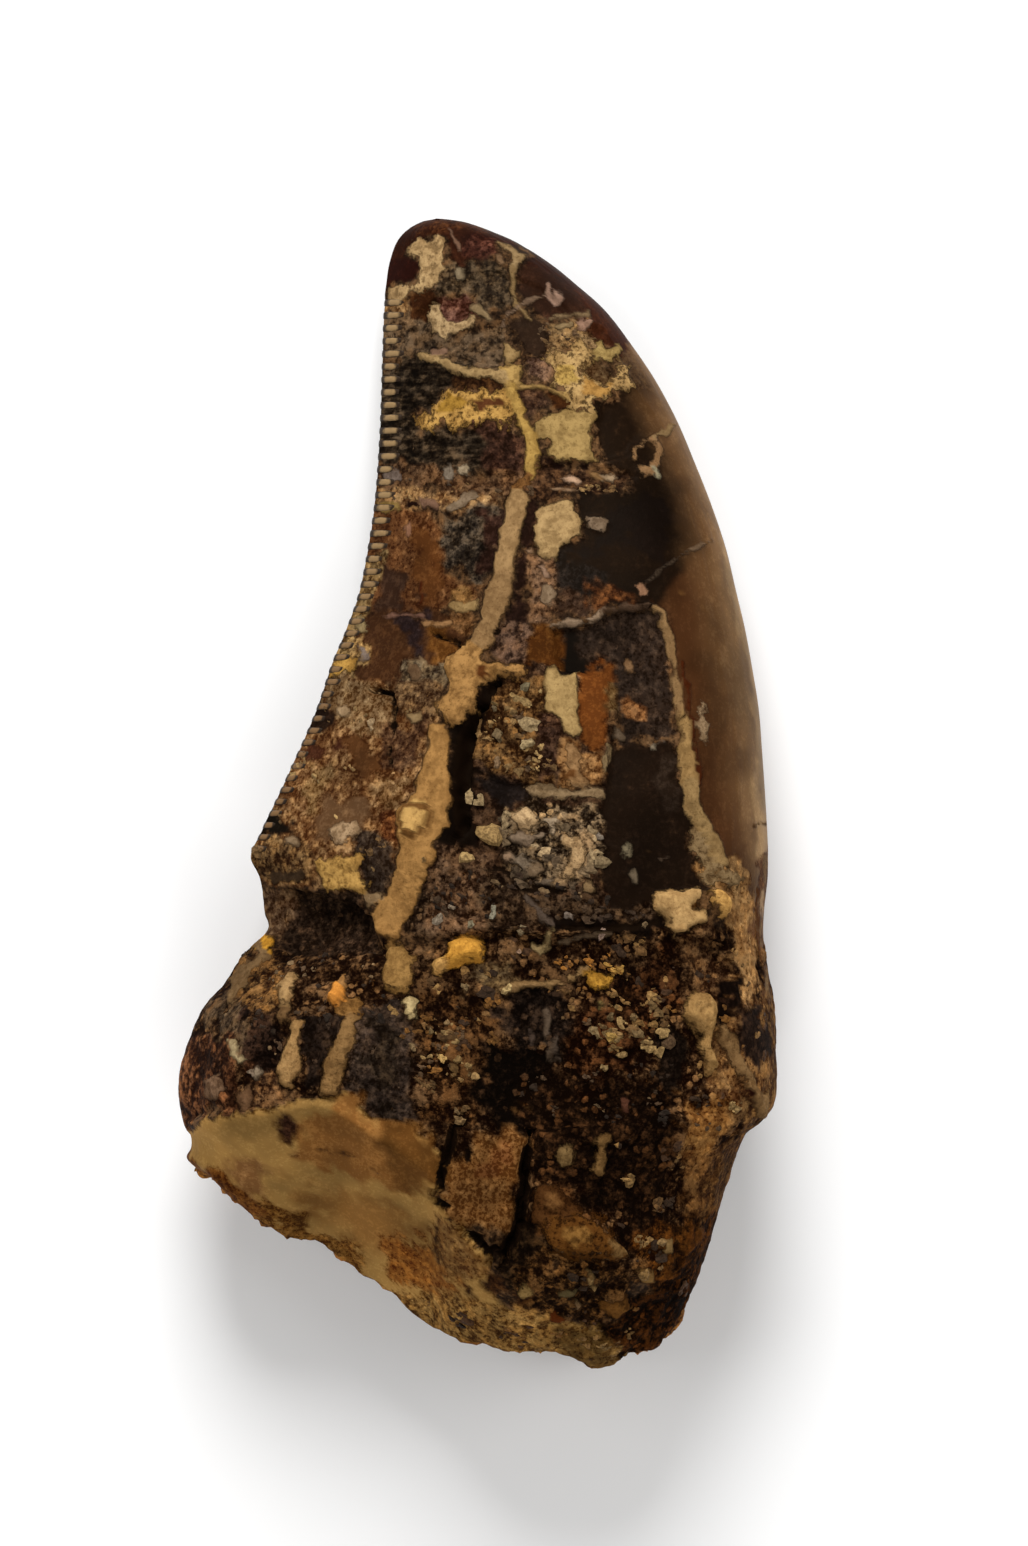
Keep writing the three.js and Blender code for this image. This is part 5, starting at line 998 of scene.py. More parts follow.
def build_skin(rows, over, wall_rows, relief):
    """The whole fossil as one skin, with its relief in the mesh and its tones on the points."""
    points, faces, parts = skin_grid(rows, over, wall_rows)
    upper = parts["upper"] & (parts["wall"] == 0)
    lower = ~upper
    # every outline wavers a little, and those of the ground colours drift further
    places = points[:, :2] + waver(points, 0.9, (11, 17), 2, 0.17) + waver(points, 0.28, (23, 29), 1, 0.08)
    drift = waver(points, 1.7, (43, 47), 2, 0.3)
    ragged = 1.6 * cloud(points, 0.6, 31, 3) + 1.4 * cloud(points, 2.0, 37, 2)
    count = len(points)
    look, colour = np.zeros((count, 11)), np.zeros((count, 3))
    distance, rag, thick, height, gone, cracks = np.zeros((6, count))
    faces_of_tooth = [
        (upper, GROUND_ABOVE, FLAKES, LINES, FLAKED, CLEFTS),
        (lower, GROUND_BELOW, FLAKES_BELOW, LINES_BELOW, FLAKED_BELOW, CLEFTS_BELOW),
    ]
    for side, patches, flakes, lines, flaked, clefts in faces_of_tooth:
        at = places[side]
        look[side] = paint_ground(at + drift[side], patches, ragged[side])
        distance[side], rag[side], colour[side], thick[side], height[side] = paint_mineral(at, flakes, lines)
        missing = sunk_by(at, flaked, CRACK_EDGE)
        split = np.full(len(at), NEAR)
        for width, depth, line in clefts:
            away, along = line_distance(at, line)
            taper = np.clip(np.minimum(along, 1 - along) * TAPER, 0.35, 1)
            off = away - width / 2 * taper
            split = np.minimum(split, off)
            missing = lerp(missing, depth, smooth_step(CRACK_EDGE, -0.5 * width * taper, off))
        gone[side] = missing
        cracks[side] = split
    wall = parts["wall"] > 0
    distance[wall] = NEAR
    height[wall] = 0
    cracks[wall] = NEAR
    gone[wall] = 0

    dark, light = look[:, 0:3], look[:, 3:6]
    specks, rough, lumps, fibre, streak = look[:, 6:].T
    lumps = np.where(wall, np.maximum(lumps, WALL_LUMPS), lumps)
    grains = pebbled(points, PEBBLES, 41)
    large, small = np.abs(cloud(points, CHUNKS, 53, 2)), np.abs(cloud(points, SMALL_CHUNKS, 59, 2))
    rise = 0.5 * grains + (large * CHUNK_SHARES[0] + small * CHUNK_SHARES[1])
    # fibres and folds run along the tooth, wrinkles across it
    along_place = np.stack([parts["w"] * 18, points[:, 1] * 0.12, parts["upper"] * 3.0], axis=1)
    across_place = np.stack([points[:, 0] * 0.35, points[:, 1], points[:, 2] * 0.3], axis=1)
    ridges, wrinkles = cloud(along_place, 0.35, 61, 2), cloud(across_place, 0.22, 67, 2)
    folds = cloud(along_place, 1.5, 79, 2) * fibre * smooth_step(0.01, 0.03, lumps)
    swell = lumps * (GRAIN_HEIGHT * rise - GRAIN_SINK)
    swell += fibre * FIBRE_HEIGHT * ridges + streak * WRINKLE_HEIGHT * wrinkles
    swell += FOLD_HEIGHT * folds
    swell = np.where(distance < 0, (0.03 + 0.22 * height) * cloud(points, 0.5, 73, 3), swell)
    inner = smooth_step(0.02, 0.4, parts["full"])
    out = (height - gone) * inner + swell * lerp(0.45, 1, inner)
    # nothing stands out from the two edges themselves, so the outline keeps its size
    out = np.where(parts["w"] % 1 == 0, np.minimum(out, 0), out) * relief

    base = bpy.data.meshes.new("skin_normals")
    base.from_pydata(points.tolist(), [], faces)
    normals = np.empty(len(points) * 3)
    base.vertex_normals.foreach_get("vector", normals)
    bpy.data.meshes.remove(base)
    points = points + normals.reshape(-1, 3) * out[:, None]
    points[:, 2] = np.maximum(points[:, 2], LIFT)

    skin = new_mesh_object("tooth_skin", points, faces)
    grainy = smooth_step(0.02, 0.12, lumps)
    stored = {
        "ground_dark": dark, "ground_light": light, "specks": specks, "finish": rough, "grainy": grainy,
        "rise": rise, "fibre": fibre, "streak": streak, "mineral": distance, "mineral_rag": rag,
        "mineral_tone": colour, "crack": cracks, "mineral_thick": thick, "along_place": along_place,
    }
    for name, values in stored.items():
        keep_on_points(skin.data, name, values)
    return skin, dict(points=points, normals=normals.reshape(-1, 3), upper=upper, mineral=distance)


# ---------------------------------------------------------------- serrations and grains


def edge_walk(pitch):
    """Places of the serrations: evenly spaced values of t along the hind edge."""
    t = np.linspace(0, LAST_SECTION, 6000)
    x, y = section_at(t)[:, 0], section_at(t)[:, 1]
    on_edge = (y <= SERRATED_FROM) & (y >= SERRATED_TO)
    t, x, y = t[on_edge], x[on_edge], y[on_edge]
    walked = np.concatenate([[0], np.cumsum(np.hypot(np.diff(x), np.diff(y)))])
    return np.interp(np.arange(0, walked[-1], pitch), walked, t)


BAR_RINGS, BAR_SIDES = 17, 10  # the points of one serration's bar: along it and round it
BAR_HEIGHT = 0.075
FRESH_REACH, WORN_REACH = 0.78, 0.5  # how far a bar runs onto each face, near the tip and near the root
FRESH_ABOVE, WORN_BELOW = 13, 2  # in Y
SERRATION_SEED = 7


def build_serrations(pitch, width):
    """The serrated hind edge: one low bar after another, each folded over the edge onto both faces."""
    rng = np.random.default_rng(SERRATION_SEED)
    fold = np.linspace(-1, 1, BAR_RINGS)
    turns = 2 * np.pi * np.arange(BAR_SIDES) / BAR_SIDES
    points, faces, crest, worn = [], [], [], []
    for t in edge_walk(pitch):
        hind_x, hind_y, front_x, front_y = section_at(np.array([t]))[0][:4]
        ahead = section_at(np.array([t + 0.02]))[0]
        along = np.array([ahead[0] - hind_x, ahead[1] - hind_y, 0])
        along /= np.linalg.norm(along)
        span = math.hypot(front_x - hind_x, front_y - hind_y)
        age = float(smooth_step(FRESH_ABOVE, WORN_BELOW, hind_y))
        reach = lerp(FRESH_REACH, WORN_REACH, age) * rng.uniform(0.85, 1.15)
        base = len(points)
        # the bar's middle line runs along the skin, from the lower face round the edge to the upper one
        deep = reach * np.abs(fold) ** 1.2 / span
        middle, _ = skin_points(np.full(len(fold), t), deep, fold > 0)
        run = np.gradient(middle, axis=0)
        run /= np.linalg.norm(run, axis=1)[:, None]
        out = np.cross(run, along)
        out *= np.where((out[:, 0] > 0) & (np.abs(fold) < 0.3), -1, 1)[:, None]
        out *= np.where(out[:, 2] * fold < 0, -1, 1)[:, None]
        for f, centre, normal in zip(fold, middle, out):
            thick = BAR_HEIGHT * (0.45 + 0.55 * float(smooth_step(0, 0.25, abs(f)))) * (1 - 0.7 * abs(f) ** 4)
            half = width / 2 * (1 - 0.35 * abs(f) ** 5) * rng.uniform(0.95, 1.05)
            for turn in turns:
                points.append(centre + along * half * math.cos(turn) + normal * thick * math.sin(turn))
                # pale where the bar faces out; its sides and underside stay dark, painted shade between the
                # serrations
                shown = max(math.sin(turn), 0) ** 0.5
                crest.append(shown * float(smooth_step(0.05, 0.4, abs(f)) * smooth_step(1.0, 0.75, abs(f))))
                worn.append(age)
        for ring in range(BAR_RINGS - 1):
            for k in range(BAR_SIDES):
                a = base + ring * BAR_SIDES + k
                b = base + ring * BAR_SIDES + (k + 1) % BAR_SIDES
                faces.append((a, b, b + BAR_SIDES, a + BAR_SIDES))
        faces.append(tuple(base + k for k in reversed(range(BAR_SIDES))))
        faces.append(tuple(base + (BAR_RINGS - 1) * BAR_SIDES + k for k in range(BAR_SIDES)))
    piece = new_mesh_object("serrations", points, faces)
    keep_on_points(piece.data, "crest", crest)
    keep_on_points(piece.data, "worn", worn)
    return piece


# Tones of the cemented grains, and their beds: how many, smallest and largest radius, tones and outline.
PALE_GRAINS = [(142, 112, 70), (164, 134, 86), (112, 84, 50), (92, 70, 48)]
ROOT_GRAINS = [(136, 102, 58), (108, 78, 44), (152, 118, 70), (74, 50, 32), (54, 38, 26), (124, 84, 38)]
DARK_GRAINS = [(52, 38, 28), (84, 64, 46), (40, 30, 24), (124, 100, 70)]
WHITE_GRAINS = [(150, 128, 94), (118, 98, 72), (176, 150, 112), (86, 70, 52)]
OCHRE_GRAINS = [(160, 106, 44), (128, 86, 40), (176, 134, 66)]
GRAIN_BEDS = [
    (150, 0.05, 0.22, ROOT_GRAINS, [-2.6, -5.8, 8.2, -5.6, 8.4, -10, 4.5, -11, 0.8, -10.2, 0.4, -13.2, -2.2,
        -13.2, -3.4, -8]),
    (60, 0.05, 0.17, PALE_GRAINS, [-2, -8.6, 0.2, -9.4, 0, -13.2, -2.2, -12.6, -2.6, -10.6]),
    (44, 0.06, 0.22, PALE_GRAINS, [2.8, -8.6, 7.6, -8.2, 7.8, -10.4, 4, -11.2]),
    (34, 0.06, 0.16, OCHRE_GRAINS, [2.6, -6.6, 5.6, -6.4, 5.6, -8.2, 3.4, -8.2, 0.8, -7.4]),
    (90, 0.05, 0.17, DARK_GRAINS, [-9.6, -6.4, -4, -6.2, -3, -8.6, -5, -12, -8, -12.2, -10.4, -9.6]),
    (50, 0.05, 0.14, DARK_GRAINS, [1.6, -10.8, 8, -10.6, 8, -13.2, 1.8, -13.4]),
    (80, 0.06, 0.2, ROOT_GRAINS, [2.2, -13.8, 8.2, -13.6, 8.4, -20.4, 5.8, -22, 3, -20.8, 1.6, -18.8]),
    (50, 0.06, 0.18, ROOT_GRAINS, [8.4, -5.8, 11.4, -6.6, 11.7, -12.4, 10.4, -13.4, 8.6, -13]),
    (20, 0.05, 0.12, PALE_GRAINS, [8.4, -11.2, 11.3, -11.4, 11, -13.4, 8.6, -13.4]),
    (56, 0.08, 0.26, WHITE_GRAINS, [0.8, -0.7, 3, -0.9, 4.8, -1.7, 4.8, -2.8, 3.8, -3.9, 1.8, -3.9, 1,
        -2.8]),
    (70, 0.06, 0.2, PALE_GRAINS, [0.4, 3.8, 2.5, 4.4, 3.8, 0.4, 0.6, 0.8, -0.1, 1.4]),
    (90, 0.05, 0.16, DARK_GRAINS, [-2.4, -2.8, 0.8, -3, 4.6, -4, 6.8, -5, 0.6, -5.5, -3, -5.6]),
    (60, 0.05, 0.14, PALE_GRAINS, [-6.8, 3.6, -2.4, 3.2, -2.4, 0, -4, -3.6, -8.4, -2.6]),
    (36, 0.05, 0.11, PALE_GRAINS, [2, 18.6, 4.6, 19, 5.6, 17.4, 4.6, 16.4, 3, 17.4]),
    (40, 0.05, 0.11, PALE_GRAINS, [-3.6, 12.4, 5.6, 12.8, 5.6, 11.8, -3.6, 11.2]),
    (80, 0.05, 0.16, ROOT_GRAINS, [-2.6, -20.2, 5.4, -21.4, 6, -22.4, 4.8, -22.8, -2.2, -21.2]),
]
# Grains that stand out by themselves: place, half sizes, tone.
LONE_GRAINS = [
    (0.1, -0.52, 0.28, 0.44, 0.28, (198, 170, 124)), (0.35, -1.68, 0.34, 0.46, 0.32, (206, 168, 108)),
    (-0.55, -2.55, 0.24, 0.3, 0.22, (160, 132, 86)), (4.7, -1.8, 0.14, 0.2, 0.14, (150, 136, 120)),
    (2.0, 2.6, 0.2, 0.36, 0.16, (152, 130, 94)), (1.95, 1.8, 0.22, 0.22, 0.18, (172, 150, 110)),
    (0.82, 2.15, 0.18, 0.2, 0.15, (150, 126, 90)), (0.8, 1.05, 0.2, 0.13, 0.14, (160, 130, 96)),
    (2.0, 4.0, 0.24, 0.2, 0.14, (134, 122, 92)), (0.7, 3.2, 0.12, 0.16, 0.12, (130, 112, 82)),
    (-1.15, -4.6, 0.16, 0.22, 0.15, (140, 124, 104)), (-1.5, -5.1, 0.17, 0.2, 0.15, (122, 110, 94)),
    (-0.3, -5.3, 0.14, 0.18, 0.14, (140, 130, 104)), (0.7, -4.8, 0.18, 0.17, 0.16, (142, 136, 116)),
    (3.6, -4.9, 0.17, 0.2, 0.15, (126, 112, 100)), (1.6, -6.3, 0.22, 0.22, 0.18, (142, 114, 92)),
    (1.7, -5.5, 0.17, 0.14, 0.14, (122, 106, 80)), (4.95, -5.65, 0.25, 0.12, 0.12, (160, 134, 118)),
    (-4.2, 2.5, 0.2, 0.14, 0.12, (166, 141, 106)), (-8.7, -2.5, 0.24, 0.26, 0.2, (126, 96, 60)),
    (-2.1, -2.7, 0.1, 0.12, 0.1, (150, 116, 70)), (6.6, -5.4, 0.18, 0.18, 0.15, (128, 106, 76)),
    (-0.5, -12.9, 0.24, 0.22, 0.2, (152, 122, 82)), (-0.8, -12.5, 0.14, 0.16, 0.14, (150, 122, 84)),
    (6.4, -9.5, 0.24, 0.26, 0.22, (164, 134, 90)), (5.3, -9.7, 0.18, 0.22, 0.18, (184, 148, 82)),
    (7.1, -10.2, 0.22, 0.18, 0.18, (150, 122, 78)), (4.6, -9.5, 0.2, 0.2, 0.18, (172, 144, 100)),
    (5.6, -10.3, 0.14, 0.16, 0.14, (160, 130, 84)), (4.9, -10.9, 0.14, 0.14, 0.12, (150, 124, 82)),
    (6.0, -8.9, 0.14, 0.14, 0.12, (152, 122, 80)), (5.2, -8.9, 0.12, 0.14, 0.12, (140, 116, 78)),
    (-1.4, -10.5, 0.16, 0.16, 0.14, (176, 142, 86)), (-0.8, -10.5, 0.14, 0.16, 0.14, (170, 136, 84)),
    (-0.3, -10.8, 0.14, 0.14, 0.14, (164, 132, 84)), (-0.2, -11.2, 0.12, 0.14, 0.12, (160, 128, 82)),
    (-1.9, -9.4, 0.16, 0.14, 0.12, (152, 126, 84)), (-1.2, -9.1, 0.14, 0.14, 0.12, (150, 122, 84)),
    (-0.4, -7.7, 0.14, 0.14, 0.12, (150, 124, 86)), (-2.4, -10.1, 0.13, 0.13, 0.12, (140, 116, 82)),
    (1.2, -7.8, 0.18, 0.15, 0.16, (182, 156, 106)), (7.4, -17.9, 0.16, 0.2, 0.16, (146, 116, 74)),
    (6.5, -19.2, 0.2, 0.16, 0.16, (132, 102, 60)), (7.2, -18.8, 0.14, 0.14, 0.12, (130, 100, 62)),
    (-8.9, -11.1, 0.2, 0.2, 0.14, (150, 130, 108)),
]


def crumb_shape():
    """A small ball of 42 points, as unit vectors and triangles, for a grain's rough form."""
    form = bmesh.new()
    bmesh.ops.create_icosphere(form, subdivisions=2, radius=1)
    form.verts.ensure_lookup_table()
    points = np.array([v.co[:] for v in form.verts])
    faces = [[v.index for v in f.verts] for f in form.faces]
    form.free()
    return points, faces


def build_grains(skin, share, seed):
    """Mineral grains cemented into the skin, thickest where the root's matrix is."""
    rng = np.random.default_rng(seed)
    unit, unit_faces = crumb_shape()
    points, faces, tones = [], [], []
    top = np.flatnonzero(skin["upper"])
    top_places = skin["points"][top, :2]

    def add(at, normal, half, tone, sink):
        """One rough grain of these half sizes, sunk by a share of its height."""
        side = np.cross(normal, [0.3, 0.8, 0.5])
        side /= np.linalg.norm(side)
        frame_of_grain = np.stack([side, np.cross(normal, side), normal])
        dents = np.maximum(1 + 1.5 * cloud(unit * 0.8 + rng.uniform(0, 90, 3), 0.8, 5, 2), 0.3)
        form = unit * half * dents[:, None]
        start = sum(len(p) for p in points)
        points.append(at + form @ frame_of_grain - normal * half[2] * sink)
        faces.extend([[start + v for v in face] for face in unit_faces])
        shade = rng.uniform(0.4, 1.0)
        tones.append(np.tile(linear(tone) * shade, (len(unit), 1)))

    bare = skin["mineral"][top] > 0.1
    for count, small, large, palette, outline in GRAIN_BEDS:
        bed = top[bare & (outline_distance(top_places, outline) < 0)]
        left = int(count * share)
        while left > 0:
            middle = skin["points"][rng.choice(bed)]
            clump = bed[np.linalg.norm(skin["points"][bed] - middle, axis=1) < rng.uniform(0.2, 0.7)]
            members = min(left, int(rng.integers(1, 9)))
            left -= members
            tone = palette[rng.integers(len(palette))]
            for spot in rng.choice(clump, members):
                size = 1.15 * (small + (large - small) * rng.random() ** 1.4)
                half = size * np.array([1.15, rng.uniform(0.6, 1.1), rng.uniform(0.4, 0.75)])
                add(skin["points"][spot], skin["normals"][spot], half, tone, rng.uniform(0.45, 1.0))
    for x, y, half_x, half_y, half_z, tone in LONE_GRAINS:
        spot = top[np.argmin(np.hypot(top_places[:, 0] - x, top_places[:, 1] - y))]
        add(skin["points"][spot], np.array([0, 0, 1.0]), np.array([half_y, half_x, half_z]), tone, 0.2)
    piece = new_mesh_object("cemented_grains", np.concatenate(points), faces, smooth=False)
    keep_on_points(piece.data, "tone", np.concatenate(tones))
    return piece


# ---------------------------------------------------------------- materials


CRUMB_WOBBLE = 0.3  # how uneven the borders of the crumbs are
WARM_SHEEN = (1, 0.82, 0.62)


class Wiring:
    """A material's nodes, added one at a time and wired as they are added."""

    def __init__(self, name):
        self.material = bpy.data.materials.new(name)
        self.material.use_nodes = True
        self.tree = self.material.node_tree
        self.tree.nodes.clear()
        self.output = self.tree.nodes.new("ShaderNodeOutputMaterial")

    def node(self, kind, settings=None, **inputs):
        """Adds a node. The inputs' names have an underscore for each space."""
        made = self.tree.nodes.new(kind)
        for key, value in (settings or {}).items():
            setattr(made, key, value)
        for key, value in inputs.items():
            self.feed(made.inputs[key.replace("_", " ")], value)
        return made

    def feed(self, socket, value):
        """Wires another node's output to a socket, or gives the socket a number or a colour."""
        if isinstance(value, bpy.types.NodeSocket):
            self.tree.links.new(value, socket)
        elif socket.type == "RGBA":
            socket.default_value = (*value, 1)
        else:
            socket.default_value = value

    def stored(self, name, kind="Fac"):
        """What keep_on_points has stored under this name."""
        return self.node("ShaderNodeAttribute", {"attribute_name": name}).outputs[kind]

    def maths(self, operation, first, second):
        made = self.tree.nodes.new("ShaderNodeMath")
        made.operation = operation
        self.feed(made.inputs[0], first)
        self.feed(made.inputs[1], second)
        return made.outputs[0]

    def plus(self, first, second):
        return self.maths("ADD", first, second)

    def minus(self, first, second):
        return self.maths("SUBTRACT", first, second)

    def times(self, first, second):
        return self.maths("MULTIPLY", first, second)

    def centred(self, share, strength):
        """A number from 0 to 1 as a swing to both sides of nothing, this strong."""
        return self.times(self.minus(share, 0.5), strength)

    def tint(self, colour, factor):
        return self.mix(1.0, colour, factor, "MULTIPLY")

    def mix(self, share, first, second, blend="MIX"):
        made = self.tree.nodes.new("ShaderNodeMix")
        made.data_type = "RGBA"
        made.blend_type = blend
        for index, value in ((0, share), (6, first), (7, second)):
            self.feed(made.inputs[index], value)
        return made.outputs[2]

    def mix_number(self, share, first, second):
        made = self.tree.nodes.new("ShaderNodeMix")
        made.data_type = "FLOAT"
        for index, value in ((0, share), (2, first), (3, second)):
            self.feed(made.inputs[index], value)
        return made.outputs[0]

    def ramp(self, value, low, high, to_low=0.0, to_high=1.0):
        made = self.node(
            "ShaderNodeMapRange", {"interpolation_type": "SMOOTHSTEP"},
            Value=value, From_Min=low, From_Max=high, To_Min=to_low, To_Max=to_high,
        )
        return made.outputs["Result"]

    def noise(self, blot_mm, detail=3.0, roughness=0.55, place=None, offset=0.0):
        """Noise from 0 to 1, whose blots are about blot_mm across on the object."""
        if place is None:
            place = self.node("ShaderNodeTexCoord").outputs["Object"]
            scale = 1 / (blot_mm * MM)
        else:
            scale = 1 / blot_mm
        made = self.node(
            "ShaderNodeTexNoise", {"noise_dimensions": "4D"},
            Vector=place, W=offset, Scale=scale, Detail=detail, Roughness=roughness,
        )
        return made.outputs["Fac"]

    def crumbs(self, size_mm):
        """Small crumbs with uneven borders: how round each place stands, and each crumb's own number."""
        place = self.node("ShaderNodeTexCoord").outputs["Object"]
        reach = CRUMB_WOBBLE * MM
        wobble = self.node("ShaderNodeTexNoise", None, Vector=place, Scale=1 / reach, Detail=2.0)
        shift = self.node("ShaderNodeVectorMath", {"operation": "SCALE"}, Scale=reach)
        self.feed(shift.inputs[0], wobble.outputs["Color"])
        moved = self.node("ShaderNodeVectorMath", {"operation": "ADD"})
        self.feed(moved.inputs[0], place)
        self.feed(moved.inputs[1], shift.outputs[0])
        cells = self.node("ShaderNodeTexVoronoi", None, Vector=moved.outputs[0], Scale=1 / (size_mm * MM))
        number = self.node("ShaderNodeSeparateColor", None, Color=cells.outputs["Color"]).outputs[0]
        return self.ramp(cells.outputs["Distance"], 0.62, 0.2), number

    def surface(self, colour, roughness, bump_metres, gloss):
        """Finishes the material. Its gloss is Blender's specular level, 0.5 for glass."""
        bump = self.node("ShaderNodeBump", None, Strength=1.0, Distance=1.0, Height=bump_metres)
        shader = self.node(
            "ShaderNodeBsdfPrincipled", None, Base_Color=colour, Roughness=roughness,
            Normal=bump.outputs["Normal"], Specular_IOR_Level=gloss, Specular_Tint=WARM_SHEEN,
        )
        self.tree.links.new(shader.outputs["BSDF"], self.output.inputs["Surface"])
        return self.material


# What lightens or darkens the skin's own tones: factors of red, green and blue.
FLECK_TINT, LIT_TINT, PIT_TINT = (1.3, 1.33, 1.34), (1.6, 1.64, 1.7), (0.42, 0.32, 0.2)
# RIM_SHADOW_TINT darkens the ground round the mineral as a painted shadow.
RIM_SHADOW_TINT, WORN_TINT = (0.28, 0.24, 0.21), (0.5, 0.44, 0.38)
# CRACK_SHADE_BLACK is the painted shade at the bottom of cracks and clefts.
CRACK_SHADE_BLACK = (0.006, 0.0028, 0.0012)


def fossil_skin_material(contrast, mineral_bump, tone):
    """Mottled dentine, glossy enamel, crusted mineral and gritty matrix, told apart by the stored tones."""
    w = Wiring("fossil_enamel_and_matrix")
    tiny = w.noise(0.11, 2, 0.6, offset=5)
    fine = w.noise(0.3, 5, 0.66)
    broad = w.noise(0.8, 3, 0.55, offset=3)
    wide = w.noise(2.6, 2, 0.5, offset=8)
    lengthwise = w.stored("along_place", "Vector")
    fine_along = w.noise(0.16, 3, 0.6, place=lengthwise)
    along = w.mix_number(0.5, fine_along, w.noise(0.9, 3, 0.5, place=lengthwise, offset=2))
    place = w.node("ShaderNodeTexCoord").outputs["Object"]
    stretched = w.node("ShaderNodeMapping", {"vector_type": "POINT"}, Vector=place, Scale=(0.28, 1, 0.5))
    across = w.node(
        "ShaderNodeTexNoise", None, Vector=stretched.outputs["Vector"], Scale=1 / (0.2 * MM), Detail=3.0,
    ).outputs["Fac"]
    crumb_round, crumb_number = w.crumbs(0.34)
    crumb = w.times(crumb_round, w.plus(w.times(crumb_number, 0.7), 0.3))
    patchy = w.noise(0.6, 6, 0.68, offset=21)

    # pale specks over the dark tone, and near-black hollows between them
    fibre, streak, specks, grainy = (w.stored(name) for name in ("fibre", "streak", "specks", "grainy"))
    pattern = w.plus(w.times(fine, 0.7), w.times(broad, 0.3))
    pattern = w.mix_number(w.times(streak, 0.6), pattern, across)
    pattern = w.mix_number(w.times(fibre, 0.6), pattern, along)
    clusters = w.ramp(w.noise(1.1, 3, 0.6, offset=31), 0.42, 0.62)
    crumbly = w.times(w.minus(crumb, 0.2), w.mix_number(clusters, 0.0, 0.2))
    # painted shade and light: the grit is darker where the grains lie low and lighter where they stand high
    crevice_shade = w.times(w.minus(w.stored("rise"), 0.85), 0.16)
    grain = w.plus(w.times(fine, 0.75), w.times(tiny, 0.25))
    gritty = w.plus(w.plus(grain, -0.015), w.plus(crumbly, crevice_shade))
    pattern = w.mix_number(grainy, pattern, gritty)
    level = w.plus(pattern, w.centred(specks, 0.36))
    crisp = w.ramp(level, 0.5 - 0.12 / contrast, 0.5 + 0.12 / contrast)
    cover = w.mix_number(0.5, crisp, w.ramp(level, 0.34, 0.66))
    dark, light = w.stored("ground_dark", "Color"), w.stored("ground_light", "Color")
    colour = w.mix(cover, dark, light)
    flecks = w.ramp(w.plus(patchy, w.centred(specks, 0.3)), 0.58, 0.61)
    colour = w.mix(w.times(flecks, 0.7), colour, w.tint(light, FLECK_TINT))
    hue = w.mix(w.ramp(w.noise(0.5, 2, 0.5, offset=12), 0.38, 0.62), (1.08, 0.96, 0.82), (0.95, 1.0, 1.12))
    colour = w.mix(w.times(specks, 1.2), colour, w.tint(colour, hue))
    bright = w.ramp(w.plus(level, w.centred(tiny, 1.1)), 0.6, 0.72)
    colour = w.mix(w.times(bright, w.times(specks, 1.7)), colour, w.tint(colour, LIT_TINT))
    pits = w.ramp(w.plus(level, w.centred(tiny, 0.7)), 0.44, 0.34)
    pits = w.times(pits, w.ramp(specks, 0.02, 0.3, 0.25, 1.0))
    colour = w.mix(pits, colour, w.tint(colour, PIT_TINT))
    chips = w.times(w.ramp(crumb_number, 0.66, 0.7), w.ramp(crumb_round, 0.25, 0.6))
    chips = w.times(chips, w.times(grainy, clusters))
    chip_tone = w.tint(light, w.mix(w.ramp(tiny, 0.35, 0.65), (0.8, 0.74, 0.64), (2.1, 2.0, 1.8)))
    colour = w.mix(w.times(chips, 0.85), colour, chip_tone)
    colour = w.tint(colour, w.mix(w.ramp(wide, 0.3, 0.7), (0.66, 0.65, 0.64), (1.26, 1.24, 1.2)))

    # mineral flakes and veins, with a dark rim of painted shadow on the ground round them
    loose = w.stored("mineral_rag")
    rag = w.plus(w.centred(fine, 2.2), w.centred(broad, 2.8))
    away = w.plus(w.stored("mineral"), w.times(rag, w.plus(loose, 0.06)))
    thick = w.stored("mineral_thick")
    # how strongly edges darken: the painted shadow round thick mineral, and the darker worn edge inside it
    edge_shadow_and_wear = w.times(w.ramp(thick, 0.02, 0.2, 0.2, 0.55), w.ramp(loose, 0.7, 0.2, 0.3, 1.0))
    rim = w.times(w.ramp(away, 0.13, 0.0), edge_shadow_and_wear)
    colour = w.mix(rim, colour, w.tint(colour, RIM_SHADOW_TINT))
    mottle = w.plus(w.times(fine, 0.6), w.times(broad, 0.4))
    speck = w.plus(w.times(fine, 0.8), w.times(tiny, 0.2))
    holes = w.times(w.ramp(speck, 0.49, 0.4), w.ramp(loose, 0.1, 0.6, 0.0, 0.8))
    mineral = w.times(w.ramp(away, 0.05, -0.08), w.minus(1.0, holes))
    patchiness = w.ramp(loose, 0.04, 0.4, 0.6, 1.0)
    shade = w.mix(w.ramp(mottle, 0.4, 0.6), (0.5, 0.45, 0.41), (1.08, 1.08, 1.1))
    shade = w.mix(patchiness, (0.78, 0.78, 0.8), shade)
    flake = w.tint(w.stored("mineral_tone", "Color"), shade)
    worn = w.ramp(w.plus(away, w.centred(tiny, 0.5)), -0.16, 0.04)
    flake = w.mix(w.times(worn, edge_shadow_and_wear), flake, w.tint(flake, WORN_TINT))
    spots = w.times(w.ramp(tiny, 0.44, 0.34), 0.5)
    flake = w.mix(spots, flake, w.tint(flake, WORN_TINT))
    colour = w.mix(mineral, w.tint(colour, tuple(tone)), flake)

    # cracks and clefts are painted black at the bottom, painted shade in the open gaps
    split = w.plus(w.stored("crack"), w.centred(fine, 0.3))
    colour = w.mix(w.ramp(split, 0.06, -0.04), colour, CRACK_SHADE_BLACK)

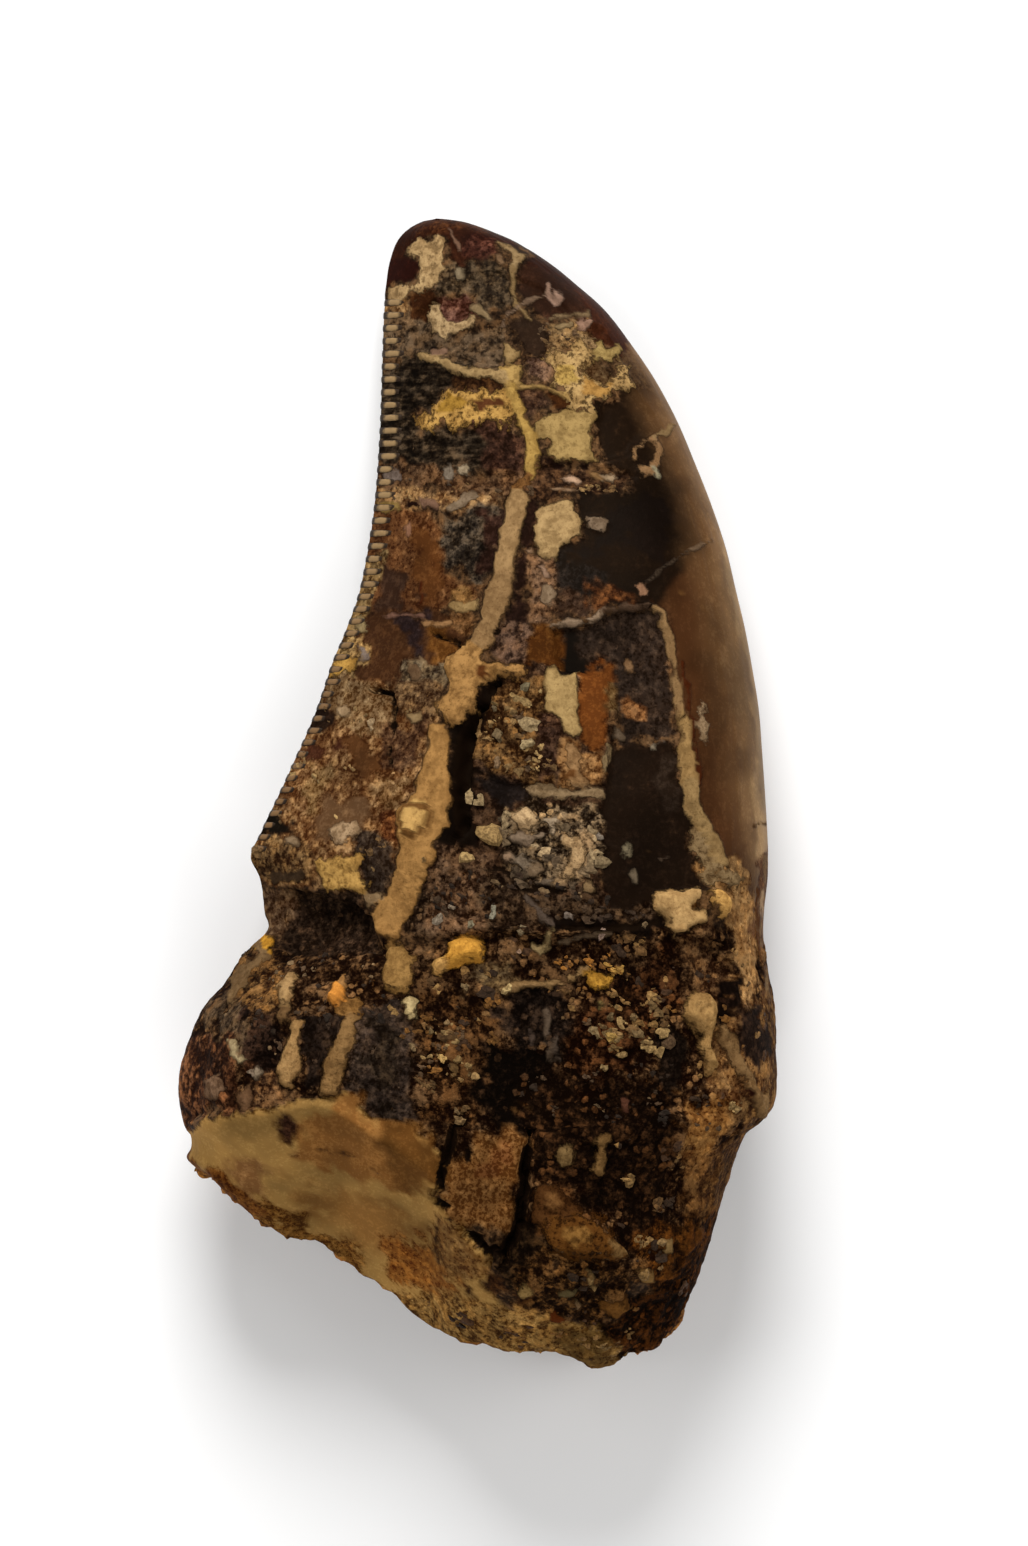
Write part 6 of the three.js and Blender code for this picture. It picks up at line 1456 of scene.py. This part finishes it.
    # mineral is dull; grit is the height of the finest relief, in metres
    roughness = w.mix_number(mineral, w.plus(w.stored("finish"), 0.1), 0.9)
    roughness = w.plus(roughness, w.centred(fine, 0.2))
    grit = w.times(level, w.mix_number(grainy, 0.02 * MM, 0.12 * MM))
    grit = w.plus(grit, w.times(mineral, w.times(mottle, mineral_bump * MM)))
    step = w.times(w.ramp(thick, 0.02, 0.2, 0.3, 1.0), 0.06 * MM)
    grit = w.plus(grit, w.times(w.ramp(away, 0.05, -0.07), step))
    grit = w.plus(grit, w.times(crumb_round, w.times(grainy, 0.02 * MM)))
    grit = w.plus(grit, w.times(w.times(fine_along, fibre), 0.012 * MM))
    return w.surface(colour, roughness, grit, 0.025)


def serration_material():
    """Serrations are polished, pale on top with painted shade on their sides and between them, and browner
    where they are worn.
    """
    w = Wiring("serration_enamel")
    fine = w.noise(0.2, 3)
    worn = w.stored("worn")
    pale = w.mix(worn, linear((140, 113, 76)), linear((112, 82, 50)))
    dark = w.mix(worn, linear((34, 22, 14)), linear((30, 20, 13)))
    level = w.plus(w.stored("crest"), w.centred(fine, 0.9))
    colour = w.mix(w.ramp(level, 0.35, 0.95), dark, pale)
    return w.surface(colour, 0.5, w.times(fine, 0.03 * MM), 0.2)


def grain_material():
    """Dull mineral, each grain in its own stored tone."""
    w = Wiring("cemented_mineral_grain")
    fine = w.noise(0.12, 3)
    shade = w.mix(w.ramp(fine, 0.35, 0.65), (0.5, 0.46, 0.42), (1.15, 1.12, 1.08))
    colour = w.tint(w.stored("tone", "Color"), shade)
    return w.surface(colour, 0.8, w.times(fine, 0.04 * MM), 0.2)


def floor_material(tone):
    """Matt paper, hardly mottled."""
    w = Wiring("pale_paper_floor")
    colour = w.mix(w.noise(30, 2), tuple(tone), tuple(c * 0.985 for c in tone))
    return w.surface(colour, 0.9, w.times(w.noise(0.5, 2), 0.002 * MM), 0.2)


# ---------------------------------------------------------------- the add-on


class ToothSettings(bpy.types.PropertyGroup):
    """Sizes of the skin and its serrations."""

    rows: IntProperty(
        name="Rows along", description="Rings of the skin from tip to break", default=420, min=60,
    )
    over: IntProperty(
        name="Columns over", description="Columns over the upper face, an even number", default=144, min=24,
    )
    wall_rows: IntProperty(
        name="Rows of the break", description="Rows down the broken end", default=12, min=3,
    )
    relief: FloatProperty(
        name="Relief", description="Strength of flakes, clefts and grain",
        default=1.0, min=0, subtype="FACTOR",
    )
    contrast: FloatProperty(
        name="Mottling", description="How sharply light specks stand out", default=2.0, min=0.2,
    )
    mineral_bump: FloatProperty(
        name="Mineral grit", description="Height of the mineral's fine grit in millimetres",
        default=0.08, min=0,
    )
    tone: FloatVectorProperty(
        name="Tone", description="Tint laid over all the skin's colours",
        default=(0.92, 0.84, 0.74), size=3, subtype="COLOR",
    )
    serration_pitch: FloatProperty(
        name="Serration pitch", description="Distance between serrations in millimetres",
        default=0.52, min=0.2,
    )
    serration_width: FloatProperty(
        name="Serration width", description="Width of one serration in millimetres", default=0.29, min=0.1,
    )


class GrainSettings(bpy.types.PropertyGroup):
    """How the cemented grains are strewn."""

    share: FloatProperty(
        name="Amount", description="Share of the usual number of grains",
        default=1.0, min=0, subtype="FACTOR",
    )
    seed: IntProperty(name="Seed", description="Picks another scatter of grains", default=19, min=0)


class StageSettings(bpy.types.PropertyGroup):
    """Floor, lights and camera."""

    floor_tone: FloatVectorProperty(
        name="Floor", description="Colour of the floor", default=(0.96, 0.96, 0.96), size=3, subtype="COLOR",
    )
    key: FloatProperty(
        name="Key light", description="Share of the floor's light from the top", default=0.68, min=0,
    )
    fill: FloatProperty(
        name="Fill lights", description="Share of the floor's light from each side", default=0.13, min=0,
    )
    sky: FloatProperty(name="Surrounding light", description="Light from all round", default=0.25, min=0)
    lens: FloatProperty(
        name="Lens", description="Focal length of the camera", default=200, min=20, unit="CAMERA",
    )


class TOOTH_OT_skin(bpy.types.Operator):
    """Builds the fossil's skin with its relief, flakes, veins and broken root"""

    bl_idname = "fossil.tooth_skin"
    bl_label = "Tooth skin"

    def execute(self, context):
        s = context.scene.fossil_tooth
        skin, facts = build_skin(s.rows, s.over, s.wall_rows, s.relief)
        skin.data.materials.append(fossil_skin_material(s.contrast, s.mineral_bump, s.tone))
        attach(skin, "root")
        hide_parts("tooth")
        SKIN_FACTS.update(facts)
        return {"FINISHED"}


class TOOTH_OT_serrations(bpy.types.Operator):
    """Builds the row of serrations on the hind edge"""

    bl_idname = "fossil.serrations"
    bl_label = "Serrations"

    def execute(self, context):
        s = context.scene.fossil_tooth
        row = build_serrations(s.serration_pitch, s.serration_width)
        row.data.materials.append(serration_material())
        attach(row, "root")
        return {"FINISHED"}


class TOOTH_OT_grains(bpy.types.Operator):
    """Strews mineral grains over the matrix, cemented into the skin"""

    bl_idname = "fossil.grains"
    bl_label = "Cemented grains"

    def execute(self, context):
        s = context.scene.fossil_grains
        grains = build_grains(SKIN_FACTS, s.share, s.seed)
        grains.data.materials.append(grain_material())
        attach(grains, "root")
        return {"FINISHED"}


# The camera looks straight down at this place. VIEW_HEIGHT is the length that it takes in there, along Y.
VIEW_X, VIEW_Y, VIEW_Z = 1.44, 0.66, 5.0
VIEW_HEIGHT = 61.84
SENSOR = 36.0
FLOOR_SIZE = 900
LEFT_SHARE, LOW_SHARE = 0.8, 1.6  # what the left and the low fill light give, against the right one


def area_light(name, place, size, share):
    """A round soft light aimed at the tooth, which gives a white floor this share of full brightness."""
    light = bpy.data.lights.new(name, "AREA")
    light.shape = "DISK"
    light.size = size * MM
    lamp = bpy.data.objects.new(name, light)
    lamp.location = Vector(place) * MM
    away = lamp.location.length
    light.energy = share * math.pi**2 * away**3 / lamp.location.z
    lamp.rotation_euler = lamp.location.to_track_quat("Z", "Y").to_euler()
    bpy.context.scene.collection.objects.link(lamp)


class TOOTH_OT_stage(bpy.types.Operator):
    """Sets up the floor, the lights and the camera that looks down on the tooth"""

    bl_idname = "fossil.stage"
    bl_label = "Floor, lights and camera"

    def execute(self, context):
        s = context.scene.fossil_stage
        half = FLOOR_SIZE / 2
        corners = [(-half, -half, 0), (half, -half, 0), (half, half, 0), (-half, half, 0)]
        floor = new_mesh_object("floor", corners, [(0, 1, 2, 3)], smooth=False)
        floor.data.materials.append(floor_material(s.floor_tone))
        area_light("key_light", (-16, 240, 190), 150, s.key)
        area_light("left_fill", (-300, 60, 300), 260, s.fill * LEFT_SHARE)
        area_light("right_fill", (300, 60, 300), 260, s.fill)
        area_light("low_fill", (10, -280, 300), 260, s.fill * LOW_SHARE)
        world = bpy.data.worlds.new("soft_surroundings")
        world.use_nodes = True
        background = world.node_tree.nodes["Background"]
        background.inputs["Color"].default_value = (1, 0.99, 0.97, 1)
        background.inputs["Strength"].default_value = s.sky
        context.scene.world = world
        lens = bpy.data.cameras.new("camera")
        lens.lens = s.lens
        lens.sensor_width = SENSOR
        lens.clip_start, lens.clip_end = 0.01, 10
        camera = bpy.data.objects.new("camera", lens)
        distance = VIEW_HEIGHT / 2 / (SENSOR / 2 / s.lens)
        camera.location = Vector((VIEW_X, VIEW_Y, VIEW_Z + distance)) * MM
        context.scene.collection.objects.link(camera)
        context.scene.camera = camera
        context.scene.view_settings.view_transform = "Standard"
        return {"FINISHED"}


class TOOTH_PT_panel(bpy.types.Panel):
    """Lists the pieces of the fossil tooth in the sidebar"""

    bl_idname = "TOOTH_PT_panel"
    bl_label = "Fossil tooth"
    bl_space_type = "VIEW_3D"
    bl_region_type = "UI"
    bl_category = "Fossil"

    def draw(self, context):
        scene = context.scene
        groups = [
            (scene.fossil_tooth, [TOOTH_OT_skin, TOOTH_OT_serrations]),
            (scene.fossil_grains, [TOOTH_OT_grains]),
            (scene.fossil_stage, [TOOTH_OT_stage]),
        ]
        for settings, operators in groups:
            box = self.layout.box()
            for name in settings.__annotations__:
                box.prop(settings, name)
            for operator in operators:
                box.operator(operator.bl_idname)


CLASSES = [
    ToothSettings, GrainSettings, StageSettings,
    TOOTH_OT_skin, TOOTH_OT_serrations, TOOTH_OT_grains, TOOTH_OT_stage, TOOTH_PT_panel,
]


def register():
    for cls in CLASSES:
        bpy.utils.register_class(cls)
    bpy.types.Scene.fossil_tooth = PointerProperty(type=ToothSettings)
    bpy.types.Scene.fossil_grains = PointerProperty(type=GrainSettings)
    bpy.types.Scene.fossil_stage = PointerProperty(type=StageSettings)


def unregister():
    del bpy.types.Scene.fossil_stage
    del bpy.types.Scene.fossil_grains
    del bpy.types.Scene.fossil_tooth
    for cls in reversed(CLASSES):
        bpy.utils.unregister_class(cls)


def main():
    register()
    bpy.ops.fossil.tooth_skin()
    bpy.ops.fossil.serrations()
    bpy.ops.fossil.grains()
    bpy.ops.fossil.stage()


if __name__ == "__main__":
    main()
